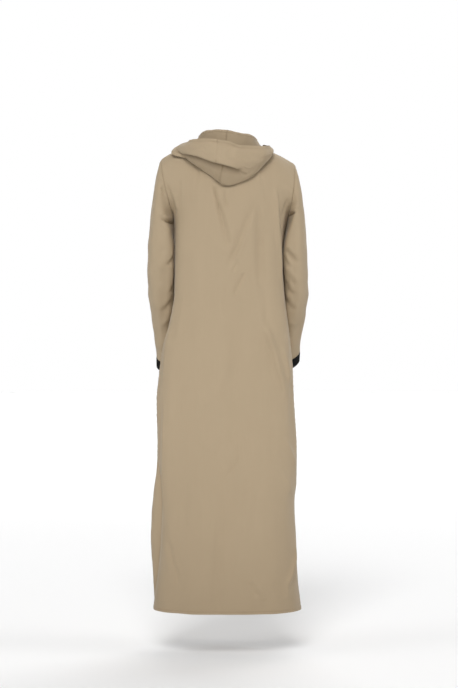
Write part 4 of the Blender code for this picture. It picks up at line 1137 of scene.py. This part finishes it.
def hood_rows(arc, low, tuck, fold, depth):
    """Each row's distance along the profile and how far the tuck moves it out, at each column."""
    rim = arc[-1]
    lap = smooth(depth / LAP_FROM_DEPTH)
    half = np.minimum(TUCK_HALF, TUCK_HALF_SHARE * np.minimum(tuck - low, rim - tuck))
    rows = [(fold * f, 0 * fold) for f in np.linspace(0, 1, FOOT_ROWS + 1)]
    shrink = np.minimum(1, (low - fold) / SHORT_FALL)
    rows += [(fold + shrink * d, 0 * fold) for d in COLLAR_STEPS]
    start = rows[-1][0]
    rows += [(start + (low - start) * f, 0 * fold) for f in np.linspace(0, 1, FALL_ROWS + 1)[1:]]
    end = tuck - half
    for f in np.linspace(0, 1, LOWER_ROWS + 1)[1:]:
        rows.append((low + (end - low) * f, LOWER_SWELL * lap * depth * smooth(f)))
    knots = np.linspace(1, 0, TUCK_ROWS + 1)[1:]
    bulge = TUCK_PATH["share"] * TUCK_SCALE + TUCK_PATH["more"]
    bent = np.stack([TUCK_PATH["up"], bulge], 1)[:, None]
    for k in knots:
        up, out = through(bent, k * (len(bent) - 1))[0]
        level = TUCK_HALF * (1 - 2 * k)
        height = (lap * up + (1 - lap) * level) * half / TUCK_HALF
        plain = depth * smooth(level / PLAIN_SLOPE + 0.5)
        rows.append((tuck + height, lap * depth * out / TUCK_SCALE + (1 - lap) * plain))
    top = tuck + half
    edge = HEM_STEPS[::-1]
    wall = np.minimum(1, (rim - top) / SHORT_WALL)
    stop = rim - wall * edge[0]
    places = [top + (stop - top) * f for f in np.linspace(0, 1, UPPER_WALL_ROWS + 1)[1:]]
    places += [rim - wall * d for d in edge[1:]]
    rows += [(at, depth * np.exp(-(at - top) / TUCK_FADE)) for at in places]
    return (np.array(part) for part in zip(*rows))


# %% The hood's folds
HOOD_FOLDS = folds(
    (-0.004, 0.006, -0.012, -0.052, 0.003, 0.016, -0.0045, 0, 0.2),
    (-0.02, -0.004, -0.004, -0.03, 0.002, 0.004, -0.0012),
    (-0.012, -0.016, -0.03, -0.04, 0.002, 0.004, 0.0012),
    (-0.096, 0, -0.112, -0.034, 0.002, 0.012, 0.0035, -0.4),
    (-0.036, -0.068, -0.052, -0.092, 0.002, 0.008, -0.004),
    (-0.016, -0.078, -0.07, -0.078, -0.01, 0.006, 0.003),
    (0.034, -0.07, 0.026, -0.116, 0.002, 0.008, 0.002),
    (0.11, -0.004, 0.06, -0.022, -0.004, 0.01, 0.002, 0, 0.2),
    (0.06, 0.004, 0.016, -0.02, -0.004, 0.012, -0.0018),
    (-0.05, 0, -0.066, -0.05, 0.003, 0.012, -0.002, 0, 0.2),
    (-0.06, -0.03, -0.1, -0.046, -0.003, 0.008, -0.0018, 0.4),
    (0.13, -0.036, 0.08, -0.064, -0.004, 0.007, 0.0018),
    (0.09, -0.056, 0.04, -0.094, -0.004, 0.007, -0.0016),
)
HOOD_CREASES = scattered(61, 16, (-0.11, 0.12), (-0.06, 0.01), (0.02, 0.05), (0.003, 0.007), 0.0010, 0.9)
HOOD_RIPPLE = {"size": 0.05, "height": 0.0006}
# The folds fade out by the centre seam, the neck seam and the tuck
CENTRE_EASE, NECK_EASE, TUCK_CLEAR, TUCK_EASE = 0.006, 0.02, 0.004, 0.012
# The centre seam is this much fainter from the tuck up to the rim's hem
QUIETER, QUIET_FROM, RIM_CLEAR, RIM_EASE = 0.8, 0.004, 0.010, 0.006
COLLAR_FADE = 0.05
HOOD_COLUMNS, PROFILE_STEPS = 104, 481
# The columns crowd near the centre seam, at distances that this radius turns into angles
CROWD_RADIUS, CROWD_END = 0.16, 0.0115
SEAM_CROWD = np.array([0, 0.0012, 0.0028, 0.0048, 0.0075]) / CROWD_RADIUS
# The least and most height of the tuck, as shares of the pouch's outer wall
TUCK_LEAST, TUCK_MOST = 0.3, 0.6


# %% The hood's columns and painted shade
# The cleft's painted shade starts 6 rows before the tuck and is whole 8 rows on. It ends at this
# share of the tuck's rows, over the last 3 of them
CLEFT_SHADE, CLEFT_START, CLEFT_RISE, CLEFT_END, CLEFT_FALL = 2.2, -6, 8, 0.66, 3
# How dark the inside is painted and over what lengths its painted shade comes and goes, and where
# the painted shade under the low edge lies and how wide it is
INSIDE_SHADE, INSIDE_FROM, INSIDE_TO = 0.7, 0.012, 0.02
UNDER_AT, UNDER_WIDTH = 0.002, 0.0024


def hood_angles(side):
    """The angles of a half's columns round the neck, from left to right."""
    seam_angle = math.pi / 2
    throat = seam_angle + SLIT_TURN + math.pi / 2
    spread = np.linspace(CROWD_END / CROWD_RADIUS, throat - seam_angle, HOOD_COLUMNS)
    away = np.concatenate([SEAM_CROWD, spread])
    return seam_angle - away[::-1] if side == LEFT else seam_angle + away


def hood_shade(at, low, from_fold, depth):
    """Painted shade in the tuck's cleft and under the low edge, where no light reaches, less inside."""
    number = np.arange(len(at))[:, None] - LOW_ROW - LOWER_ROWS
    cleft = smooth((number - CLEFT_START) / CLEFT_RISE)
    cleft = cleft * smooth((TUCK_ROWS * CLEFT_END - number) / CLEFT_FALL)
    cleft = cleft * smooth(depth / LAP_FROM_DEPTH)
    under = bell((at - low + UNDER_AT) / UNDER_WIDTH)
    inside = INSIDE_SHADE * smooth(from_fold / INSIDE_FROM) * smooth((low - at) / INSIDE_TO)
    return CLEFT_SHADE * np.maximum(cleft, under) + inside


# %% The hood
def hood_half(side, seed):
    """Half of the hood, in columns that count on round the neck from the left."""
    theta = hood_angles(side)
    columns = range(len(theta))
    steps = np.linspace(0, RIM_KNOT, PROFILE_STEPS)
    curve, turns = hood_curves(theta, steps)
    out = out_of(curve, 1)
    arc = travelled(curve, 0)
    knots = (FOLD_KNOT, LOW_KNOT, RIM_KNOT)
    fold, low, rim = (arc[np.argmin(np.abs(steps - knot))] for knot in knots)
    wall = steps >= LOW_KNOT
    level = read(TUCK, "z", turns[-1], "turn")
    tuck = np.array([np.interp(level[j], curve[wall, j, 2], arc[wall, j]) for j in columns])
    tuck = np.clip(tuck, low + TUCK_LEAST * (rim - low), low + TUCK_MOST * (rim - low))
    depth = read(TUCK, "depth", turns[-1], "turn")
    at, moved = hood_rows(arc, low, tuck, fold, depth)

    def along(values):
        return np.stack([points_at(at[:, j], arc[:, j], values[:, j]) for j in columns], 1)

    points, facing = along(curve), unit(along(out))
    u = travelled(points, 1)
    from_seam = u[:, -1:] - u if side == LEFT else u
    from_rim, from_fold = at[-1:] - at, at - fold
    move = sum(raised(points, facing, BEHIND, rows) for rows in (HOOD_FOLDS, HOOD_CREASES))
    move += ripple(points, seed, **HOOD_RIPPLE)
    move *= smooth(from_seam / CENTRE_EASE) * smooth(at / NECK_EASE)
    move *= smooth((np.abs(at - tuck) - TUCK_CLEAR) / TUCK_EASE)
    narrow = np.minimum(1, (rim - tuck) / SHORT_RIM)
    quiet = smooth((at - tuck) / QUIET_FROM) * smooth((from_rim - RIM_CLEAR) / RIM_EASE)
    quiet = 1 - QUIETER * quiet
    move += hem(from_rim / narrow) * narrow + seam(from_seam, at, 60) * quiet + seam(at, u, seed + 1)
    collar = bell((from_fold - COLLAR_LINE) / STITCH_WIDTH)
    move -= STITCH_SINK * collar * smooth((u.max() - from_seam) / COLLAR_FADE)
    edge = np.maximum(marks(from_seam) * quiet, marks(at))
    edge = np.maximum(edge, thread_marks(from_rim, HOOD_MARK))
    edge = np.maximum(edge, THREAD_MARK * marks(from_fold - COLLAR_LINE, HOOD_MARK))
    # The painted shade is added to the marks, and darkens the colour with them
    edge = edge + hood_shade(at, low, from_fold, depth)
    flat = np.stack([from_seam * -side, at], -1)
    return points + facing * (moved + move)[..., None], flat, edge


hood_left_grid = hood_half(LEFT, 70)
hood_right_grid = hood_half(RIGHT, 71)
seam_line = (hood_left_grid[0][:, -1:] + hood_right_grid[0][:, :1]) / 2
hood_left_grid[0][:, -1:] = hood_right_grid[0][:, :1] = seam_line

# Below the tuck the seam slants to the right as it rises, and the cloth beside it with it
SLANT, SLANT_REACH = 0.018, 0.06
hood_grid = np.concatenate([hood_left_grid[0][:, :-1], hood_right_grid[0]], 1)
seam_column = hood_left_grid[0].shape[1] - 1
for row in range(LOW_ROW, LOW_ROW + LOWER_ROWS + TUCK_ROWS):
    share = (row - LOW_ROW) / LOWER_ROWS
    if share > 1:
        through_tuck = (row - LOW_ROW - LOWER_ROWS) / TUCK_ROWS
        share = smooth((1 - through_tuck - 0.45) / 0.25)
    line = hood_grid[row]
    along = travelled(line, 0)
    from_seam = along - along[seam_column]
    at = along + SLANT * share * bell(from_seam / SLANT_REACH)
    hood_grid[row] = points_at(at, along, line)
hood_left_grid[0][:] = hood_grid[:, : seam_column + 1]
hood_right_grid[0][:] = hood_grid[:, seam_column:]
hood_left_cloth = sheet("hood_left_cloth", *hood_left_grid, 1)
hood_right_cloth = sheet("hood_right_cloth", *hood_right_grid, 1)

# %% [markdown]
# ## The stitching
# The hems are sewn with one line of thread in the cloth's own colour, about three stitches a
# centimetre. One stitch is made from a cylinder whose ends are drawn in, so that it dips into
# the cloth, and it is then copied along each line and joined into one thread a piece.

# %% One stitch
STITCH_PITCH, STITCH_LENGTH, STITCH_RADIUS, STITCH_DIP = 0.0032, 0.0023, 0.00032, 0.0006
STITCH_SIDES, STITCH_BODY, STITCH_END, STITCH_TAPER = 6, 0.6, 0.2, 0.45

bpy.ops.object.select_all(action="DESELECT")
bpy.ops.mesh.primitive_cylinder_add(
    vertices=STITCH_SIDES, radius=STITCH_RADIUS, depth=STITCH_LENGTH * STITCH_BODY
)
pattern = bpy.context.object
bpy.ops.object.mode_set(mode="EDIT")
bpy.ops.mesh.select_all(action="SELECT")
bpy.ops.mesh.normals_make_consistent(inside=False)
bpy.ops.mesh.select_mode(type="FACE")
bpy.ops.mesh.select_all(action="DESELECT")
bpy.ops.object.mode_set(mode="OBJECT")
for face in pattern.data.polygons:
    face.select = abs(face.normal.z) > 0.9
bpy.ops.object.mode_set(mode="EDIT")
outwards = {"value": STITCH_LENGTH * STITCH_END}
bpy.ops.mesh.extrude_region_shrink_fatten(TRANSFORM_OT_shrink_fatten=outwards)
bpy.ops.transform.resize(value=(STITCH_TAPER, STITCH_TAPER, 1))
bpy.ops.object.mode_set(mode="OBJECT")
stitch_points = np.array([v.co[:] for v in pattern.data.vertices])
stitch_faces = [tuple(face.vertices) for face in pattern.data.polygons]
bpy.data.objects.remove(pattern)
print("one stitch has", len(stitch_faces), "faces")


# %% Stitches along a line
LOOK_AHEAD = 0.001


def thread_line(points, out, from_edge):
    """Where the thread runs in each row of a sheet's grid, and the directions out of the cloth."""
    line, away = [], []
    for row, facing, at in zip(points, out, from_edge):
        order = np.argsort(at)
        line.append(points_at(STITCH_AT, at[order], row[order]))
        away.append(points_at(STITCH_AT, at[order], facing[order]))
    return np.array(line), unit(np.array(away))


def thread(name, lines):
    """One mesh of all the stitches along some lines of points and their outward directions."""
    points, faces = [], []
    for line, away in lines:
        lengths = travelled(line, 0)
        places = np.arange(STITCH_PITCH, lengths[-1] - STITCH_PITCH, STITCH_PITCH)
        centre = points_at(places, lengths, line)
        up = unit(points_at(places, lengths, away))
        along = unit(points_at(places + LOOK_AHEAD, lengths, line) - centre)
        side = unit(np.cross(up, along))
        up = np.cross(along, side)
        x, y, z = stitch_points.T
        dip = (z / STITCH_LENGTH) ** 2 * STITCH_DIP
        made = centre[:, None] + side[:, None] * x[:, None] + along[:, None] * z[:, None]
        for stitch in made + up[:, None] * (y - dip)[:, None]:
            faces += [[v + len(points) for v in face] for face in stitch_faces]
            points += stitch.tolist()
    mesh = bpy.data.meshes.new(name)
    mesh.from_pydata(points, [], faces)
    piece = bpy.data.objects.new(name, mesh)
    bpy.context.collection.objects.link(piece)
    only(piece)
    bpy.ops.object.shade_smooth()
    print(name, "has", len(points) // len(stitch_points), "stitches")
    return piece


# %% The hems' lines of thread
def panel_lines(points, facing):
    """The lines along a panel's hem and its two slit edges."""
    out = out_of(points, facing)
    u, v = travelled(points, 1), travelled(points, 0)
    lines = [(points[STITCHED_ROW, 3:-3], out[STITCHED_ROW, 3:-3])]
    open_part = points[:, 0, 2] < SLIT_TOP_Z
    for from_side in (u, u[:, -1:] - u):
        line, away = thread_line(points, out, from_side)
        keep = open_part & (v[:, 0] > STITCH_AT)
        lines.append((line[keep], away[keep]))
    return lines


back_lines = panel_lines(back_points, 1)
front_lines = panel_lines(front_points, -1)
front_out = out_of(front_points, -1)
u = travelled(front_points, 1)
for column, other_part in ((first, slice(second, None)), (second, slice(0, second))):
    beside = np.abs(u - u[:, [column]])
    beside[:, other_part] = 1
    line, away = thread_line(front_points, front_out, beside)
    keep = middle[:, 2] > slit_foot
    front_lines.append((line[keep], away[keep]))
hood_lines = []
for points, *_ in (hood_left_grid, hood_right_grid):
    hood_lines.append((points[-1 - STITCHED_ROW], out_of(points, 1)[-1 - STITCHED_ROW]))
back_thread = thread("back_hem_thread", back_lines)
front_thread = thread("front_hem_thread", front_lines)
hood_thread = thread("hood_edge_thread", hood_lines)

# %% [markdown]
# ## The finishes
# A cloth's look comes from three scales at once: threads too fine to count from afar, the slight
# unevenness of crepe yarn, and broad changes of tone at random. Painted shade darkens the cloth
# towards the hem, and on the hood in its cleft, under its low edge and inside. A picture of cloth
# could be laid on it, but nodes stay sharp at any distance, so the weave is worked out from the UV
# map in metres. Sums of values are written as Python expressions, which add Math nodes.


# %% Values that can be added and multiplied
class Value:
    """A socket whose number varies over the cloth, and which can stand in a sum."""

    def __init__(self, finish, socket):
        self.finish, self.socket = finish, socket

    def math(self, operation, first, second=0):
        return self.finish.node("ShaderNodeMath", {"operation": operation}, {0: first, 1: second})

    def __add__(self, other):
        return self.math("ADD", self, other)

    def __sub__(self, other):
        return self.math("SUBTRACT", self, other)

    def __rsub__(self, other):
        return self.math("SUBTRACT", other, self)

    def __mul__(self, other):
        return self.math("MULTIPLY", self, other)

    __radd__, __rmul__ = __add__, __mul__

    def sine(self):
        return self.math("SINE", self)

    def size(self):
        return self.math("ABSOLUTE", self)


class Finish:
    """A material, and the one way in which nodes are added to it."""

    def __init__(self, name):
        self.material = bpy.data.materials.new(name)
        self.material.use_nodes = True
        self.nodes = self.material.node_tree.nodes
        self.links = self.material.node_tree.links
        self.nodes.clear()

    def node(self, kind, settings=None, sockets=None, output=0):
        made = self.nodes.new(kind)
        for name, value in (settings or {}).items():
            setattr(made, name, value)
        for key, value in (sockets or {}).items():
            named = [s for s in made.inputs if key in (s.identifier, s.name)]
            into = made.inputs[key] if isinstance(key, int) else named[0]
            if isinstance(value, Value):
                self.links.new(value.socket, into)
            else:
                into.default_value = value
        named = [s for s in made.outputs if output in (s.identifier, s.name)]
        out = made.outputs[output] if isinstance(output, int) else named[0]
        return Value(self, out)


# %% Helpers for every finish
def on_cut(finish):
    """Where a point lies on the flat cloth, in metres."""
    return finish.node("ShaderNodeUVMap", {"uv_map": "cut"})


def in_space(finish):
    """Where a point lies in the room, in metres."""
    return finish.node("ShaderNodeTexCoord", {}, {}, "Object")


def parts(finish, vector, axes="XY"):
    """A vector's numbers along these axes, each as a value."""
    split = "ShaderNodeSeparateXYZ"
    return [finish.node(split, {}, {"Vector": vector}, axis) for axis in axes]


def noise(finish, place, scale, detail=2):
    sockets = {"Vector": place, "Scale": scale, "Detail": detail}
    return finish.node("ShaderNodeTexNoise", {}, sockets, 0)


def stretched(finish, place, scale):
    return finish.node("ShaderNodeVectorMath", {"operation": "MULTIPLY"}, {0: place, 1: scale})


def mixed(finish, share, one, two):
    settings = {"data_type": "RGBA"}
    sockets = {"Factor_Float": share, "A_Color": one, "B_Color": two}
    return finish.node("ShaderNodeMix", settings, sockets, "Result_Color")


def bumped(finish, height, distance, strength=1.0, normal=None):
    sockets = {"Height": height, "Distance": distance, "Strength": strength}
    if normal:
        sockets["Normal"] = normal
    return finish.node("ShaderNodeBump", {}, sockets, "Normal")


def finished(finish, sockets):
    surface = finish.node("ShaderNodeBsdfPrincipled", {}, sockets, "BSDF")
    output = finish.nodes.new("ShaderNodeOutputMaterial")
    finish.links.new(surface.socket, output.inputs["Surface"])
    return finish.material


# %% The beige crepe
BEIGE = (0.362, 0.280, 0.181, 1)
BEIGE_LIGHT = (0.392, 0.306, 0.201, 1)
# The darker beige of the seam and thread marks and of the painted shade
BEIGE_MARKS_AND_SHADE = (0.190, 0.136, 0.078, 1)
THREAD_PITCH = 0.0007
# How close together the cloth's small forms lie, as so many to a metre, across and along it
YARN, PEBBLE, SLUB = (900, 240, 1), 1300, (420, 9, 1)
# Broader changes are stretched up and down by these
BROAD, RUMPLE = (1, 1, 0.5), (1, 1, 0.45)
RUMPLE_DEPTH, WEAVE_DEPTH = 0.0022, 0.00016
# How strongly the seam and thread marks with the hood's painted shade darken the colour, and how strongly the
# painted shade low on the skirt does
MARK_AND_PAINTED_SHADE_DARKENING, LOW_PAINTED_SHADE = 0.35, 0.36
# Painted shade darkens the skirt from 0.75 m below the shoulders, where z times -1.572 less 1.18 is
# 0, to the hem, where it is 1
DARKER_A_METRE, DARKER_START = 1.572, 1.18


def crepe(name):
    finish = Finish(name)
    cut, place = on_cut(finish), in_space(finish)
    # The edge attribute holds the seam and thread marks and, on the hood, painted shade
    edge = finish.node("ShaderNodeAttribute", {"attribute_name": "edge"}, {}, "Fac")
    across, along = parts(finish, cut)
    turn = math.pi / THREAD_PITCH
    weave = (across * turn).sine() * (along * turn).sine()
    yarn = noise(finish, stretched(finish, cut, YARN), 1)
    pebble = noise(finish, cut, PEBBLE, 1)
    slub = noise(finish, stretched(finish, cut, SLUB), 1, 3)
    broad = noise(finish, stretched(finish, place, BROAD), 7, 3)
    rumple = noise(finish, stretched(finish, place, RUMPLE), 30)
    # Painted shade, darker and darker towards the hem
    (height,) = parts(finish, place, "Z")
    below = height * -DARKER_A_METRE - DARKER_START
    low = (below + below.size()) * 0.5
    tone = broad * 0.9 + slub * 0.5 + weave * 0.05 - 0.25
    # The marks and the painted shade darken the colour towards the darker beige
    marks_and_painted_shade = edge * MARK_AND_PAINTED_SHADE_DARKENING + low * low * LOW_PAINTED_SHADE
    colour = mixed(finish, marks_and_painted_shade, mixed(finish, tone, BEIGE, BEIGE_LIGHT), BEIGE_MARKS_AND_SHADE)
    soft = bumped(finish, rumple, RUMPLE_DEPTH, 0.5)
    fine = bumped(finish, weave * 0.5 + pebble * 0.5 + yarn * 0.5, WEAVE_DEPTH, 0.6, soft)
    return finished(finish, {
        "Base Color": colour,
        "Roughness": 0.80 - 0.06 * broad,
        "Normal": fine,
        "Specular IOR Level": 0.30,
        "Sheen Weight": 0.10,
        "Sheen Roughness": 0.45,
    })


# %% The black knit and the thread
BLACK = (0.005, 0.005, 0.005, 1)
BLACK_WORN = (0.011, 0.011, 0.011, 1)
LOOP_WIDTH, LOOP_LENGTH, LOOP_SWAY, LOOP_DEPTH = 0.0036, 0.0013, 0.0006, 0.0003
FUZZ, TWIST, TWIST_DEPTH = 2200, 2600, 0.0001


def rib_knit():
    finish = Finish("black_rib_knit")
    cut = on_cut(finish)
    across, along = parts(finish, cut)
    sway = (across * (2 * math.pi / LOOP_WIDTH)).sine().size()
    loops = ((along + sway * LOOP_SWAY) * (2 * math.pi / LOOP_LENGTH)).sine()
    fuzz = noise(finish, cut, FUZZ, 3)
    colour = mixed(finish, fuzz * 0.6 + loops * 0.15, BLACK, BLACK_WORN)
    return finished(finish, {
        "Base Color": colour,
        "Roughness": 0.86 + 0.08 * fuzz,
        "Normal": bumped(finish, loops * 0.6 + fuzz * 0.6, LOOP_DEPTH, 0.8),
        "Specular IOR Level": 0.12,
    })


def sewing_thread():
    finish = Finish("beige_thread")
    twist = noise(finish, in_space(finish), TWIST, 1)
    return finished(finish, {
        "Base Color": mixed(finish, twist, BEIGE, BEIGE_LIGHT),
        "Roughness": 0.62 + 0.1 * twist,
        "Normal": bumped(finish, twist, TWIST_DEPTH, 0.6),
    })


beige_crepe, black_rib, beige_thread = crepe("beige_crepe"), rib_knit(), sewing_thread()

# %% [markdown]
# ## Light, floor and backdrop
# The robe is shown as in a shop's picture: pale floor, white ground, and light so soft that it
# has almost no shadows, strongest from behind the camera. A plain white dome stands far round it,
# seen but lighting nothing, and four broad suns light the back, the two sides and the front.

# %% The stage
FLOOR_Z = -1.515
DOME_RADIUS = 30
WHITE, PALE, UNLIT = (1, 1, 1, 1), (0.87, 0.87, 0.87, 1), (0, 0, 0, 1)
# White is reached where the square of the distance in metres, times this, is 1
FLOOR_WHITENING = 0.02


def pale_floor():
    """Pale under the robe and white far off, so that it ends without a line."""
    finish = Finish("pale_floor")
    x, y = parts(finish, in_space(finish))
    colour = mixed(finish, (x * x + y * y) * FLOOR_WHITENING, PALE, WHITE)
    return finished(finish, {"Base Color": colour, "Roughness": 0.9, "Specular IOR Level": 0.1})


def white_backdrop():
    """A plain glow, which takes on no shade from the lights."""
    return finished(Finish("white_backdrop"), {
        "Base Color": UNLIT,
        "Specular IOR Level": 0,
        "Emission Color": WHITE,
        "Emission Strength": 1,
    })


bpy.ops.object.select_all(action="DESELECT")
bpy.ops.mesh.primitive_plane_add(size=2 * DOME_RADIUS, location=(0, 0, FLOOR_Z))
floor = bpy.context.object
floor.name = "floor"
floor.data.materials.append(pale_floor())
bpy.ops.mesh.primitive_uv_sphere_add(segments=48, ring_count=24, radius=DOME_RADIUS)
dome = bpy.context.object
dome.name = "backdrop"
dome.data.materials.append(white_backdrop())
for kind in ("diffuse", "glossy", "shadow", "transmission"):
    setattr(dome, "visible_" + kind, False)

# %% The lights
WORLD_STRENGTH = 0.25
# Each sun's strength, its angle across, its height in degrees and its turn from behind the camera
SUNS = {
    "key": (2.05, 24, 38, 5),
    "right_side": (0.55, 26, 24, -74),
    "left_side": (0.45, 30, 24, 68),
    "fill": (1.65, 60, 36, 196),
}

world = bpy.data.worlds.new("soft_room")
bpy.context.scene.world = world
world.use_nodes = True
room = world.node_tree.nodes["Background"].inputs
room["Strength"].default_value = WORLD_STRENGTH
room["Color"].default_value = WHITE
for name, (strength, broad, height, turn) in SUNS.items():
    # Unturned, a sun shines straight down, and it is tilted up and then swung round from there
    tilt, swing = math.radians(90 - height), math.radians(180 - turn)
    bpy.ops.object.light_add(type="SUN", rotation=(tilt, 0, swing))
    sun = bpy.context.object
    sun.name = name
    sun.data.energy = strength
    sun.data.angle = math.radians(broad)
bpy.context.scene.view_settings.view_transform = "Standard"

# %% [markdown]
# ## Each piece in its place
# Every piece rides on the part's one body and is given its finish here. A sheet stands for the
# solid that it covers, which is hidden, and the size it was cut to is printed with the area measured on it.

# %% What each piece is
CUTS = {
    back_cloth: ("back_panel", (0.60, 1.455), 0.71, beige_crepe),
    front_cloth: ("front_panel", (0.64, 1.46), 0.75, beige_crepe),
    sleeve_left_cloth: ("sleeve_left", (0.46, 0.64), 0.172, beige_crepe),
    sleeve_right_cloth: ("sleeve_right", (0.43, 0.63), 0.164, beige_crepe),
    cuff_left_knit: ("cuff_left", (0.27, 0.033), 0.0088, black_rib),
    cuff_right_knit: ("cuff_right", (0.27, 0.033), 0.0088, black_rib),
    hood_left_cloth: ("hood_left", (0.47, 0.37), 0.075, beige_crepe),
    hood_right_cloth: ("hood_right", (0.47, 0.37), 0.075, beige_crepe),
}
for piece, (node, flat_size, area, finish) in CUTS.items():
    piece.data.materials.clear()
    piece.data.materials.append(finish)
    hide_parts(node)
    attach(piece, "root")
    print(node, "flat", flat_size, area, "measured", round(piece["area"], 4))
for piece, node in ((back_thread, "back_panel"), (front_thread, "front_panel"), (hood_thread, "hood_left")):
    piece.data.materials.append(beige_thread)
    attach(piece, "root")
for piece, (node, flat_size, area, _) in CUTS.items():
    held = "gathered" if "cuff" in node else "draped" if "hood" in node else "hung"

# %% The scene brought up to date
bpy.context.view_layer.update()
